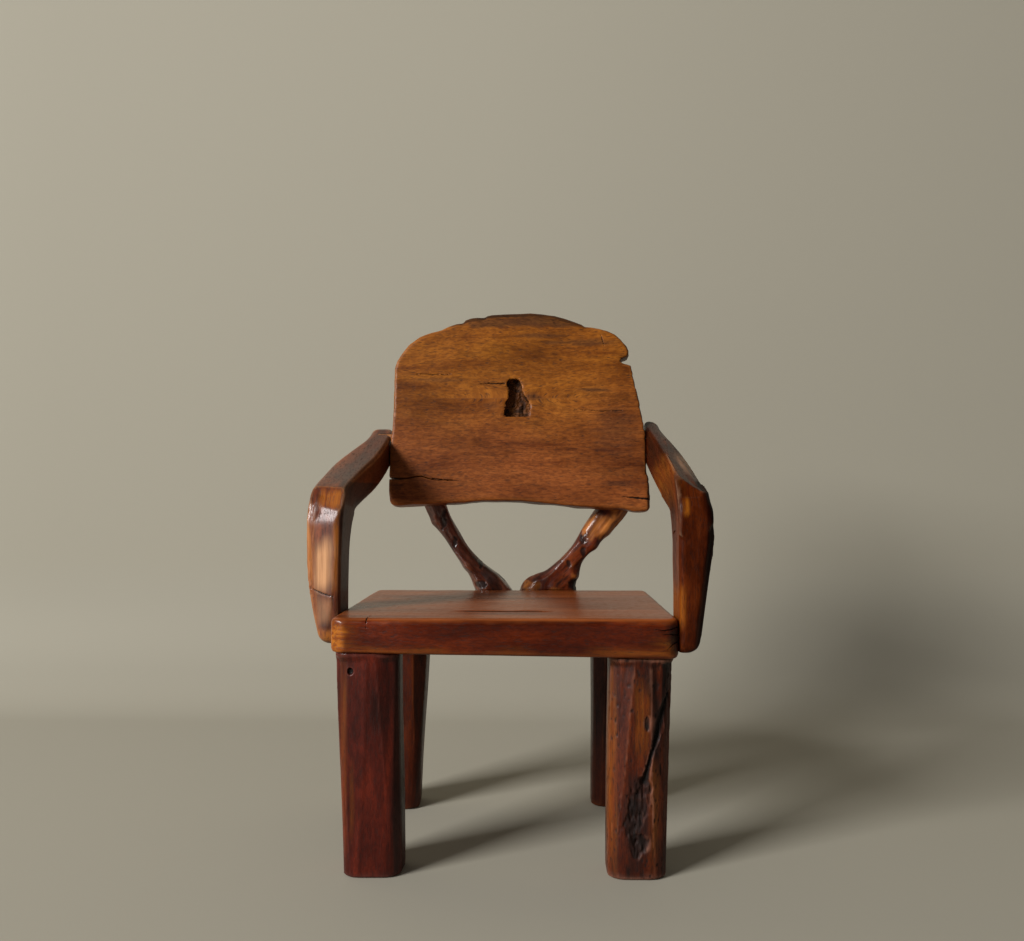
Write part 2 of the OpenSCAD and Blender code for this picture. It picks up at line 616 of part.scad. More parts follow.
module branch(side) {
    n = len(branch_rows(side)) - 1;
    fine = 3;
    color([0.28, 0.09, 0.05]) difference() {
        skin_for(1, [for (i = [0:n * fine]) branch_ring(side, i / fine)]);
        for (p = foot_pegs(side)) translate([p[0], seat_rear - 10, p[1]]) rotate([-90, 0, 0])
            cylinder(h = 120, d = peg_diameter + 2 * hole_gap, $fn = 32);
        lean_back() for (p = head_pegs(side)) translate([p[0], back_thickness - 10, p[1]]) rotate([-90, 0, 0])
            cylinder(h = 100, d = peg_diameter + 2 * hole_gap, $fn = 32);
    }
}
module foot_peg_pair(side) {
    color([0.62, 0.42, 0.24]) for (p = foot_pegs(side))
        translate([p[0], seat_rear - peg_in_plank, p[1]]) rotate([-90, 0, 0])
            cylinder(h = peg_in_plank + foot_peg_out(side, p), d = peg_diameter, $fn = 32);
}
module head_peg_pair(side) {
    color([0.62, 0.42, 0.24]) lean_back() for (p = head_pegs(side))
        translate([p[0], back_thickness - peg_in_plank, p[1]]) rotate([-90, 0, 0])
            cylinder(h = peg_in_plank + head_peg_out(side, p), d = peg_diameter, $fn = 32);
}

seat_plank();
back_plank();
arm(-1);  // arm_left
arm(1);  // arm_right
branch(-1);  // branch_left
branch(1);  // branch_right
leg(0);  // leg_front_left
leg(1);  // leg_front_right
leg(2);  // leg_rear_left
leg(3);  // leg_rear_right
tenon(0);  // tenon_front_left
tenon(1);  // tenon_front_right
tenon(2);  // tenon_rear_left
tenon(3);  // tenon_rear_right
seat_dowel_pair(-1);  // dowels_seat_left
seat_dowel_pair(1);  // dowels_seat_right
back_dowel_pair(-1);  // dowels_back_left
back_dowel_pair(1);  // dowels_back_right
foot_peg_pair(-1);  // pegs_foot_left
foot_peg_pair(1);  // pegs_foot_right
head_peg_pair(-1);  // pegs_head_left
head_peg_pair(1);  // pegs_head_right
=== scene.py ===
# %% [markdown]
# # A low armchair of thick planks and bent limbs
#
# The real chair is cut from one reddish hardwood. A thick plank is the seat, another with its bark
# edge left on is the back, two bent limbs are the arms, two branches prop the back from behind and
# four stout posts are the legs. The construction gives us each of these pieces at its real size.
# Here every piece becomes wood: finer, carved, cracked, worn and finished with a satin oil.

# %% Load the chair's pieces
import itertools
import math

import bmesh
import bpy
import numpy as np
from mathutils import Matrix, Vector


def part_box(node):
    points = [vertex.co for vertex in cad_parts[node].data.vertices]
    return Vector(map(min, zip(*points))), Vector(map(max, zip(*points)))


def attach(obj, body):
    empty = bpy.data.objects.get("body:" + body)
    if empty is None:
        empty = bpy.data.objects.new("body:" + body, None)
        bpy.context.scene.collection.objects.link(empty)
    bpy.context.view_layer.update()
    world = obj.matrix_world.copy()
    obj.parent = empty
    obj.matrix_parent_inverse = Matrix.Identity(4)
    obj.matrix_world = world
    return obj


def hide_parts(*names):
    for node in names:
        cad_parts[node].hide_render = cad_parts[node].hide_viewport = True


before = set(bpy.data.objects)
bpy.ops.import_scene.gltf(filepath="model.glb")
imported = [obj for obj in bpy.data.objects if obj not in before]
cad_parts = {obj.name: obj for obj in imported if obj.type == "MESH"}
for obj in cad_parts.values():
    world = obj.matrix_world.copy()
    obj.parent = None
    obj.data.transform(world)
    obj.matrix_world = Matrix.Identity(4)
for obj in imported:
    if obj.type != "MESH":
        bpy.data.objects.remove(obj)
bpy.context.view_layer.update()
print("pieces:", ", ".join(sorted(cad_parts)))

# %% [markdown]
# ## Where the camera stands
#
# The camera goes first, because every later choice is judged through it. It stands low in front of
# the chair, only 20 cm higher than the seat, so the seat's top is a thin strip and the wood there
# mirrors the wall. A small upward shift keeps the camera level, and so the legs stay upright.

# %% Camera
MM = 0.001
SEAT_TOP = 420 * MM
SEAT_FRONT = -273 * MM
camera_data = bpy.data.cameras.new("camera")
camera_data.sensor_width = 36
camera_data.lens = 35.3
camera_data.shift_y = 24.5 / 1024
camera = bpy.data.objects.new("camera", camera_data)
camera.location = (49 * MM, SEAT_FRONT - 1595 * MM, 617 * MM)
camera.rotation_euler = (math.radians(90), 0, math.radians(1.28))
bpy.context.scene.collection.objects.link(camera)
bpy.context.scene.camera = camera
print("camera stands", round(SEAT_FRONT - camera.location.y, 3), "m in front of the seat")

# %% [markdown]
# ## Finer wood from the plain pieces
#
# The construction's meshes have long thin triangles, which can't take carving. A voxel remesh lays
# an even net of small quads over the same shape. We do it on a copy, so the measured piece stays as
# it is, and the copy stands in for it. A light smoothing takes the remesher's steps away.

# %% A finer copy of a piece


def finer_copy(node, net):
    """A copy of a piece's mesh with even quads about net wide."""
    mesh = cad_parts[node].data.copy()
    wood = bpy.data.objects.new(node + "_wood", mesh)
    bpy.context.scene.collection.objects.link(wood)
    remesh = wood.modifiers.new("even net", "REMESH")
    remesh.mode = "VOXEL"
    remesh.voxel_size = net
    soften = wood.modifiers.new("soften", "SMOOTH")
    soften.factor = 0.5
    soften.iterations = 3
    bake_modifiers(wood)
    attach(wood, "root")
    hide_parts(node)
    print(wood.name, len(wood.data.polygons), "faces")
    return wood


def bake_modifiers(wood):
    """Makes the result of a piece's modifiers its own mesh."""
    seen = wood.evaluated_get(bpy.context.evaluated_depsgraph_get())
    made = bpy.data.meshes.new_from_object(seen)
    wood.modifiers.clear()
    wood.data = made
    wood.data.shade_smooth()


# %% [markdown]
# ## Working on all points at once
#
# A carved piece has tens of thousands of points. Moving them one by one in Python is slow, so we
# read them into an array, move them together and write them back. The same goes for masks: numbers
# from 0 to 1 that are stored on the points, which the wood's material reads as an attribute.

# %% Reading, moving and marking points


def points_of(wood):
    """The places of a piece's points, one row each."""
    flat = np.empty(len(wood.data.vertices) * 3, dtype=np.float32)
    wood.data.vertices.foreach_get("co", flat)
    return flat.reshape(-1, 3).astype(np.float64)


def facing_of(wood):
    """The direction that the surface faces at each point."""
    flat = np.empty(len(wood.data.vertices) * 3, dtype=np.float32)
    wood.data.vertex_normals.foreach_get("vector", flat)
    return flat.reshape(-1, 3).astype(np.float64)


def move_to(wood, places):
    wood.data.vertices.foreach_set("co", places.astype(np.float32).ravel())
    wood.data.update()


def mark(wood, name, values):
    """Stores one number, or one row of three, for each point under a name that a material can read."""
    kind = "FLOAT_VECTOR" if values.ndim == 2 else "FLOAT"
    layer = wood.data.attributes.new(name, kind, "POINT")
    layer.data.foreach_set("vector" if values.ndim == 2 else "value", values.astype(np.float32).ravel())


def fade(values, start, end):
    """0 before start, 1 after end, and a soft step between them."""
    t = np.clip((values - start) / (end - start), 0, 1)
    return t * t * (3 - 2 * t)


def waves(places, size, seed):
    """Smooth numbers from -1 to 1 that rise and fall over about one size in mm, the same on every run."""
    spot = places / (np.array(size) * MM) + seed * 7.31
    cell = np.floor(spot).astype(np.int64)
    part = spot - cell
    part = part * part * (3 - 2 * part)
    total = np.zeros(len(places))
    for corner in itertools.product((0, 1), repeat=3):
        at = cell + np.array(corner)
        code = at[:, 0] * 73856093 ^ at[:, 1] * 19349663 ^ at[:, 2] * 83492791
        code = (code ^ (code >> 13)) * 1274126177 % 4294967296
        code = (code ^ (code >> 16)) % 65536
        share = np.where(np.array(corner), part, 1 - part).prod(axis=1)
        total += share * (code / 32767.5 - 1)
    return total


# %% [markdown]
# ## Tool marks
#
# The limbs and legs were cut with a blade and not turned, so their round sides are many soft, flat
# facets. Each facet is one cut: a plane that touches the wood at one spot. We scatter such spots
# over a piece, further apart along the grain than across it, and push every point to the lowest
# plane near it. A soft minimum leaves a rounded ridge between two cuts, as wear does.

# %% Facets cut with a blade


def scatter(grain, sides, apart, stretch, seed):
    """Points on the sides that lie at least apart from each other, and stretch times that along the grain."""
    draw = np.random.default_rng(seed)
    flat = grain / np.array([stretch, 1, 1])
    kept = np.empty((0, 3))
    chosen = []
    for i in draw.permutation(np.flatnonzero(sides))[:6000]:
        if len(kept) == 0 or ((kept - flat[i]) ** 2).sum(axis=1).min() > apart**2:
            kept = np.vstack([kept, flat[i]])
            chosen.append(i)
    return chosen


def cut_facets(places, facing, grain, sides, apart, stretch, depth, bow, seed):
    """How far each point moves along its own facing to lie on the cuts. bow is a cut's own radius."""
    draw = np.random.default_rng(seed + 1)
    ease = 0.35 * MM
    total = np.zeros(len(places))
    chosen = scatter(grain, sides, apart, stretch, seed)
    flat = grain / np.array([stretch, 1, 1])
    for i in chosen:
        turn = facing @ facing[i]
        height = ((places[i] - places) @ facing[i]) / np.maximum(turn, 0.5)
        height += ((flat[i] - flat) ** 2).sum(axis=1) / (2 * bow) - depth * draw.uniform(0.3, 1)
        height += 0.02 * (turn < 0.5)
        total += np.exp(-np.clip(height, -0.01, 0.03) / ease)
    print("   ", len(chosen), "cuts")
    lift = -ease * np.log(np.maximum(total, 1e-12))
    return np.clip(lift, -2 * depth, 3 * MM) * sides


# %% [markdown]
# A few cuts are so broad that they give a piece its look, such as the plane across an arm's knee.
# Those aren't scattered: each has a place that it passes through and a direction that it faces. Such
# a cut only takes wood away, and only where the wood already faces roughly its way.

# %% Broad cuts at chosen places


def plane_off(places, facing, cuts, most=6 * MM):
    """How far each point moves along its own facing to lie under a few cuts: (place in mm, direction)."""
    ease = 0.5 * MM
    total = np.ones(len(places))
    for spot, way in cuts:
        way = np.array(way) / np.linalg.norm(way)
        turn = facing @ way
        over = ((places - np.array(spot) * MM) @ way) / np.maximum(turn, 0.4)
        total += np.exp(np.clip(over, -0.02, most) / ease) * fade(turn, 0.45, 0.65)
    return -ease * np.log(total)


# %% [markdown]
# ## Grain directions
#
# Wood's colour and pores run along the fibres, and the fibres follow the tree: straight in a plank,
# round the bend in a limb. So each piece stores its own grain coordinates on its points: how far
# along the fibre, and the two distances across it. One wood material can then serve every piece.

# %% Coordinates that follow a limb


def smooth_path(stops, steps):
    """A smooth line through a few stops, as many evenly numbered points."""
    stops = np.asarray(stops, dtype=float)
    ends = np.vstack([2 * stops[0] - stops[1], stops, 2 * stops[-1] - stops[-2]])
    line = []
    for k in range(1, len(ends) - 2):
        a, b, c, d = ends[k - 1 : k + 3]
        for t in np.arange(steps) / steps:
            line.append(0.5 * (2 * b + (c - a) * t + (2 * a - 5 * b + 4 * c - d) * t**2
                               + (3 * b - a - 3 * c + d) * t**3))
    return np.array(line + [stops[-1]])


def follow(places, line, sideways):
    """Each point's distance along a line, and its two distances across it."""
    run = np.gradient(line, axis=0)
    run /= np.linalg.norm(run, axis=1)[:, None]
    travelled = np.concatenate([[0], np.cumsum(np.linalg.norm(np.diff(line, axis=0), axis=1))])
    nearest = np.empty(len(places), dtype=int)
    for start in range(0, len(places), 4000):
        block = places[start : start + 4000, None, :] - line[None]
        nearest[start : start + 4000] = (block**2).sum(axis=2).argmin(axis=1)
    gap = places - line[nearest]
    ahead = (gap * run[nearest]).sum(axis=1)
    other = np.cross(run[nearest], sideways)
    return np.column_stack([travelled[nearest] + ahead, gap @ sideways, (gap * other).sum(axis=1)])


# %% [markdown]
# ## Cracks and worn edges
#
# A crack opens along the grain: a narrow groove, deepest in the middle, that thins to nothing at its
# ends. The net of quads is too coarse for that, so it's cut finer along the crack first. The groove
# also gets a dark mask. Worn edges are found by measuring: where a point stands out from the average
# of its neighbours, hands and cloths have rubbed it paler. Where it lies below them, it is darkened.

# %% Finer nets, grooves and edges


def finer_near(wood, close, cuts):
    """Cuts the net finer where close(places) is true."""
    net = bmesh.new()
    net.from_mesh(wood.data)
    chosen = close(np.array([v.co for v in net.verts]))
    edges = [e for e in net.edges if chosen[e.verts[0].index] and chosen[e.verts[1].index]]
    bmesh.ops.subdivide_edges(net, edges=edges, cuts=cuts, use_grid_fill=True)
    net.to_mesh(wood.data)
    net.free()
    wood.data.shade_smooth()


def line_gap(flat, line):
    """How far flat points (two columns) lie from a line, and how wide the line is there.

    The line is a list of stops (across, up, width) in mm.
    """
    best = np.full(len(flat), np.inf)
    width = np.zeros(len(flat))
    stops = np.array(line) * MM
    for (x0, y0, w0), (x1, y1, w1) in zip(stops[:-1], stops[1:]):
        step = np.array([x1 - x0, y1 - y0])
        gap = flat - np.array([x0, y0])
        t = np.clip((gap @ step) / (step @ step), 0, 1)
        far = np.linalg.norm(gap - t[:, None] * step, axis=1)
        closer = far < best
        best[closer] = far[closer]
        width[closer] = (w0 + (w1 - w0) * t)[closer]
    return best, width


def groove(flat, line, seed=0):
    """1 in the middle of a crack and 0 outside it. The crack wanders a little about its line."""
    wander = np.column_stack([flat, np.zeros(len(flat))])
    drift = np.column_stack([waves(wander, 6, seed), waves(wander, 4, seed + 1)])
    shifted = flat + drift * 0.7 * MM
    far, width = line_gap(shifted, line)
    return np.clip(1 - far / np.maximum(width, 0.05 * MM), 0, 1)


def standing_out(wood, places, facing, rounds):
    """How much each point stands out from its neighbours: above 0 on an edge, below 0 in a hollow."""
    ends = np.empty(len(wood.data.edges) * 2, dtype=np.int32)
    wood.data.edges.foreach_get("vertices", ends)
    a, b = ends.reshape(-1, 2).T
    count = np.bincount(np.concatenate([a, b]), minlength=len(places))[:, None]
    middle = places.copy()
    for _ in range(rounds):
        total = np.column_stack([
            np.bincount(a, middle[b, k], len(places)) + np.bincount(b, middle[a, k], len(places))
            for k in range(3)
        ])
        middle = total / np.maximum(count, 1)
    return ((places - middle) * facing).sum(axis=1)


# %% [markdown]
# ## The wood itself
#
# One recipe makes all the wood, and each piece gives it its own colours. It's laid down as a maker
# sees it: broad bands of lighter and darker heartwood, thin streaks in them, short dark pores, then
# what time added: paler worn edges, dark cracks and scars, and a satin film of oil on top. The pale
# and dark masks also carry some painted sheen and painted shade. Every pattern reads the grain
# coordinates, so nothing slides when the chair is turned.

# %% Small helpers for materials


def colour(red, green, blue):
    """A colour as seen on a screen, from 0 to 255, as the linear numbers that a shader takes."""
    part = [c / 255 for c in (red, green, blue)]
    return [c / 12.92 if c < 0.04045 else ((c + 0.055) / 1.055) ** 2.4 for c in part] + [1]


def add(tree, kind, inputs, **settings):
    """A new node. Each input is a number or colour, or the output of another node."""
    made = tree.nodes.new(kind)
    for name, value in settings.items():
        setattr(made, name, value)
    for key, value in inputs.items():
        if isinstance(value, bpy.types.NodeSocket):
            tree.links.new(value, made.inputs[key])
        else:
            made.inputs[key].default_value = value
    return made


def blend_colour(tree, share, first, second, mode="MIX"):
    made = add(tree, "ShaderNodeMix", {0: share, 6: first, 7: second}, data_type="RGBA", blend_type=mode)
    return made.outputs[2]


def maths(tree, what, first, second=0.0, third=0.0):
    made = add(tree, "ShaderNodeMath", {0: first, 1: second, 2: third}, operation=what)
    return made.outputs[0]


def between(tree, value, low, high):
    """0 below low and 1 above high, as a soft step."""
    made = add(tree, "ShaderNodeMapRange", {0: value, 1: low, 2: high}, interpolation_type="SMOOTHSTEP")
    return made.outputs[0]


def pattern(tree, grain, across, length, detail=3.0, seed=0.0, bend=0.0):
    """A noise whose features are about across wide and length long, in metres."""
    scale = (1 / length, 1 / across, 1 / across)
    start = (seed, seed * 2, seed * 3)
    spot = add(tree, "ShaderNodeMapping", {"Vector": grain, "Scale": scale, "Location": start})
    made = add(tree, "ShaderNodeTexNoise",
               {"Vector": spot.outputs[0], "Scale": 1.0, "Detail": detail, "Distortion": bend})
    return made.outputs["Fac"]


# %% The wood recipe


def wood_finish(name, dark, mid, light, worn_and_sheen, streaks, gloss, seed, film, stained=0.4, shine=0.2):
    """The chair's wood, with one piece's own colours: three of heartwood and one where it's rubbed pale,
    which also serves as painted sheen.

    streaks and stained are how strong its streaks and dark blotches are, gloss is its roughness, and
    film and shine are how strong its polish and its own reflections are.
    """
    material = bpy.data.materials.new(name)
    material.use_nodes = True
    tree = material.node_tree
    surface = tree.nodes["Principled BSDF"]
    grain = add(tree, "ShaderNodeAttribute", {}, attribute_name="grain").outputs["Vector"]
    mask = {
        key: add(tree, "ShaderNodeAttribute", {}, attribute_name=key).outputs["Fac"]
        for key in ("edge", "dark", "pale", "golden", "amber")
    }
    bands = pattern(tree, grain, 40 * MM, 200 * MM, 3.0, seed, 0.6)
    thin = pattern(tree, grain, 6 * MM, 130 * MM, 4.0, seed + 3, 0.3)
    hair = pattern(tree, grain, 1.6 * MM, 70 * MM, 2.0, seed + 5)
    patches = pattern(tree, grain, 120 * MM, 240 * MM, 2.0, seed + 7)
    pores = pattern(tree, grain, 1.5 * MM, 14 * MM, 1.0, seed + 9)
    mottle = pattern(tree, grain, 5 * MM, 13 * MM, 3.0, seed + 13, 0.8)
    tone = maths(tree, "MULTIPLY", bands, 1 - 0.4 * streaks)
    tone = maths(tree, "MULTIPLY_ADD", thin, 0.4 * streaks, tone)
    body = blend_colour(tree, between(tree, tone, 0.32, 0.5), dark, mid)
    body = blend_colour(tree, between(tree, tone, 0.46, 0.7), body, light)
    blotch = pattern(tree, grain, 16 * MM, 70 * MM, 4.0, seed + 11, 1.2)
    stain = [c * 0.45 for c in dark[:3]] + [1]
    body = blend_colour(tree, maths(tree, "MULTIPLY", between(tree, blotch, 0.5, 0.72), stained), body, stain)
    streak = maths(tree, "MULTIPLY", between(tree, thin, 0.56, 0.74), 0.4 * streaks)
    body = blend_colour(tree, streak, body, stain)
    haired = 1 - 0.3 * streaks
    body = blend_colour(tree, between(tree, hair, 0.3, 0.7), body, (haired, haired, haired, 1), "MULTIPLY")
    shade = blend_colour(tree, between(tree, patches, 0.3, 0.7), (0.74, 0.7, 0.66, 1), (1.2, 1.16, 1.12, 1))
    body = blend_colour(tree, 1.0, body, shade, "MULTIPLY")
    small = blend_colour(tree, between(tree, mottle, 0.35, 0.65), (0.8, 0.76, 0.76, 1), (1.16, 1.18, 1.2, 1))
    body = blend_colour(tree, 1.0, body, small, "MULTIPLY")
    body = blend_colour(tree, mask["golden"], body, (1.12, 1.26, 0.5, 1), "MULTIPLY")
    oiled = blend_colour(tree, between(tree, thin, 0.35, 0.65), colour(176, 102, 26), colour(128, 62, 12))
    body = blend_colour(tree, mask["amber"], body, oiled)
    pit = between(tree, pores, 0.57, 0.69)
    pitted = maths(tree, "MULTIPLY", pit, 0.35 + 0.4 * streaks)
    body = blend_colour(tree, pitted, body, (0.012, 0.004, 0.002, 1))
    lines = blend_colour(tree, between(tree, thin, 0.38, 0.62), (0.79, 0.74, 0.69, 1), (1.11, 1.11, 1.11, 1))
    rubbed = blend_colour(tree, 1.0, worn_and_sheen, lines, "MULTIPLY")
    body = blend_colour(tree, maths(tree, "MULTIPLY", mask["edge"], 0.4), body, rubbed)
    # the pale mask is worn wood, and on the seat's top and the left arm also painted sheen and reflection
    body = blend_colour(tree, mask["pale"], body, rubbed)
    # the dark mask blackens cracks, scars and bark, and also carries painted shade and painted shadow
    body = blend_colour(tree, mask["dark"], body, (0.006, 0.003, 0.002, 1))
    tree.links.new(body, surface.inputs["Base Color"])
    rough = maths(tree, "MULTIPLY_ADD", patches, 0.16, gloss - 0.08)
    rough = maths(tree, "MULTIPLY_ADD", pit, 0.25, rough)
    rough = maths(tree, "MULTIPLY_ADD", mask["dark"], 0.4, rough)
    tree.links.new(rough, surface.inputs["Roughness"])
    surface.inputs["Specular IOR Level"].default_value = shine
    surface.inputs["Coat Weight"].default_value = film
    surface.inputs["Coat Roughness"].default_value = 0.12
    fibre = maths(tree, "SUBTRACT", maths(tree, "MULTIPLY", hair, 0.5), maths(tree, "MULTIPLY", pit, 0.8))
    fibre = maths(tree, "MULTIPLY_ADD", thin, 0.8, fibre)
    bump = add(tree, "ShaderNodeBump", {"Strength": 0.35, "Distance": 0.5 * MM, "Height": fibre})
    tree.links.new(bump.outputs[0], surface.inputs["Normal"])
    return material


def spots(places, grain, stops):
    """1 inside rounded boxes, 0 outside, with ragged soft rims. A stop is (x, y, z, sizes, share) in mm."""
    total = np.zeros(len(places))
    for x, y, z, size, share in stops:
        far = (((places - np.array([x, y, z]) * MM) / (np.array(size) * MM)) ** 4).sum(axis=1) ** 0.25
        ragged = 1.35 - far + 0.2 * waves(grain, (36, 9, 9), 9)
        total = np.maximum(total, fade(ragged, 0, 0.95) * share)
    return total


def finish_with(wood, material, grain, dark=None, pale=None, edge_size=0.5 * MM, amber=None):
    """Marks a piece's grain, edges, dark, pale and amber places, and gives it its material."""
    places = points_of(wood)
    facing = facing_of(wood)
    none = np.zeros(len(places))
    mark(wood, "grain", grain)
    out = standing_out(wood, places, facing, 8)
    rubbed = 0.6 + 0.4 * waves(places, 45, 5) + 0.3 * waves(places, 12, 6)
    mark(wood, "edge", fade(out, edge_size, edge_size * 3) * np.clip(rubbed, 0, 1))
    hollow = fade(-out, edge_size * 0.8, edge_size * 3) * 0.5
    mark(wood, "dark", np.maximum(hollow, none if dark is None else dark))
    mark(wood, "pale", none if pale is None else pale)
    mark(wood, "amber", none if amber is None else amber)
    wood.data.materials.clear()
    wood.data.materials.append(material)


# %% [markdown]
# ## The seat
#
# A plank 6 cm thick. Its top was planed and then sat smooth, so it rolls by less than a millimetre.
# The front edge was cut by hand and is less even. A long thin crack runs along the top behind the
# front edge, a short one crosses the edge at the left, and three open the right corner.

# %% Seat plank
SEAT_CUTS = [((-254, -272.5, 390), (-0.42, -0.9, -0.03)), ((266, -273, 390), (0.6, -0.8, 0)),
             ((-250, -274, 417), (-0.2, -0.6, 0.75)), ((-40, -274, 362), (0, -0.75, -0.66))]


def dress_seat():
    seat = finer_copy("seat_plank", 3 * MM)
    top_cracks = [[(-94, -168, 0), (-60, -172, 2.8), (-10, -175, 3.6),
                   (30, -173, 2.6), (84, -178, 0)],
                  [(-219, -222, 0), (-220, -280, 0.9)]]
    front_cracks = [[(-220, 424, 0.9), (-219, 402, 0)],
                    [(236, 405, 0), (256, 402, 1.2), (284, 408, 1.6)],
                    [(250, 396, 0), (268, 396, 0.9), (284, 392, 1.2)],
                    [(258, 371, 0), (270, 380, 1.2), (284, 386, 1.2)]]

    def near_cracks(places):
        top = places[:, 2] > SEAT_TOP - 12 * MM
        front = places[:, 1] < SEAT_FRONT + 14 * MM
        close = np.zeros(len(places), dtype=bool)
        for line in top_cracks:
            close |= top & (line_gap(places[:, :2], line)[0] < 6 * MM)
        for line in front_cracks:
            close |= front & (line_gap(places[:, [0, 2]], line)[0] < 6 * MM)
        return close

    finer_near(seat, near_cracks, 3)
    places = points_of(seat)
    facing = facing_of(seat)
    up = fade(facing[:, 2], 0.5, 0.9)
    front = fade(-facing[:, 1], 0.5, 0.9)
    move = 0.5 * MM * waves(places, (220, 70, 200), 1) * up
    move += 1.2 * MM * waves(places, (90, 200, 30), 2) * front
    move += 0.25 * MM * waves(places, (40, 14, 14), 3) * (up + front)
    dark = np.zeros(len(places))
    for k, line in enumerate(top_cracks):
        dark = np.maximum(dark, groove(places[:, :2], line, k) * (facing[:, 2] > 0.2))
    for k, line in enumerate(front_cracks):
        dark = np.maximum(dark, groove(places[:, [0, 2]], line, k + 5) * (facing[:, 1] < -0.2))
    move -= 3.5 * MM * dark
    # the rear lip of the long crack has lifted a little
    along, across, _ = np.array(top_cracks[0]).T * MM
    behind = places[:, 1] - np.interp(places[:, 0], along, across)
    lip = np.exp(-np.maximum(behind, 0) / (16 * MM)) * (behind > 0)
    lip *= fade(90 * MM - np.abs(places[:, 0] + 5 * MM), 0, 30 * MM)
    move += 2.0 * MM * lip * up
    move += plane_off(places, facing, SEAT_CUTS, 13 * MM)
    move_to(seat, places + facing * move[:, None])
    grain = places.copy()
    grain[:, 1] += 6 * MM * waves(places, (200, 300, 300), 8)
    ends = fade(np.abs(places[:, 0]), 215 * MM, 285 * MM)
    low = fade(SEAT_TOP - 38 * MM - places[:, 2], 0, 20 * MM)
    amber = np.maximum(ends, low) * front * fade(waves(places, (70, 40, 40), 12), -0.5, 0.6) * 0.34
    corners = [(-270, -266, 388, (18, 30, 28), 0.95), (262, -273, 378, (7, 30, 8), 0.4)]
    amber = np.maximum(amber, spots(places, grain, corners))
    # the top is paler: partly worn wood, partly a painted reflection of the wall
    pale = 0.8 * up * fade(waves(places, (160, 40, 90), 13), -1.6, 0.6)
    pale *= 0.88 + 0.2 * waves(grain, (140, 12, 90), 14)
    dark = np.maximum(fade(dark, 0.05, 0.5), spots(places, grain, [(272, -266, 392, (14, 30, 18), 0.6)]))
    finish_with(seat, seat_wood, grain, dark, pale, amber=amber)


seat_wood = wood_finish(
    "seat wood, dark red satin", colour(46, 10, 2), colour(76, 22, 3), colour(100, 35, 7),
    colour(168, 90, 40), streaks=0.3, gloss=0.3, seed=1.0, film=0.1, stained=0.2,
)
dress_seat()

# %% [markdown]
# ## The back
#
# The back plank keeps the tree's own edge along its top. Its front face is golden at the top and
# redder below, with long dark streaks that bend round the knot. The knot fell out and left a deep
# keyhole with rough walls. Cracks run in from both lower corners. The face leans back by 8 degrees,
# so its marks are laid out on the face itself: so far to the right, so far up.

# %% Places on the leaning face
BACK_LEAN = math.radians(8)
BACK_FOOT = np.array([14.5, 176.6, 600]) * MM
KNOT = np.array([13.5, 182]) * MM


def on_back(places):
    """Each place as (right of the middle of the chair, up the face, depth behind the face)."""
    y = places[:, 1] - BACK_FOOT[1]
    z = places[:, 2] - BACK_FOOT[2]
    up = y * math.sin(BACK_LEAN) + z * math.cos(BACK_LEAN)
    deep = y * math.cos(BACK_LEAN) - z * math.sin(BACK_LEAN)
    return np.column_stack([places[:, 0], up, deep])


# %% [markdown]
# The crack at the lower left is open: the room shows through its first part. The even net closes so
# thin a slit, so it's cut again with a boolean, by a wedge that follows the crack's line. A second,
# shorter cut goes only part of the way in, where the wood is cracked but not through.

# %% An open crack


def slit(wood, path, mouth, tip, deepest):
    """Cuts a wedge along a path on the back's face: mouth wide where it starts and tip wide at its end."""
    net = bmesh.new()
    rings = []
    for k, (x, up) in enumerate(path):
        half = (mouth + (tip - mouth) * k / (len(path) - 1)) / 2
        ring = []
        for side, deep in ((-1, -8), (1, -8), (1, deepest), (-1, deepest)):
            rise, back_by = up + side * half, deep
            y = rise * math.sin(BACK_LEAN) + back_by * math.cos(BACK_LEAN)
            z = rise * math.cos(BACK_LEAN) - back_by * math.sin(BACK_LEAN)
            ring.append(net.verts.new(np.array([x * MM, BACK_FOOT[1] + y * MM, BACK_FOOT[2] + z * MM])))
        rings.append(ring)
    for one, two in zip(rings[:-1], rings[1:]):
        for k in range(4):
            net.faces.new((one[k], one[(k + 1) % 4], two[(k + 1) % 4], two[k]))
    net.faces.new(rings[0][::-1])
    net.faces.new(rings[-1])
    bmesh.ops.recalc_face_normals(net, faces=net.faces)
    wedge = bpy.data.objects.new("wedge", bpy.data.meshes.new("wedge"))
    net.to_mesh(wedge.data)
    net.free()
    cut = wood.modifiers.new("crack", "BOOLEAN")
    cut.operation = "DIFFERENCE"
    cut.solver = "EXACT"
    cut.object = wedge
    bpy.context.scene.collection.objects.link(wedge)
    bake_modifiers(wood)
    bpy.data.objects.remove(wedge)


# %% Back plank


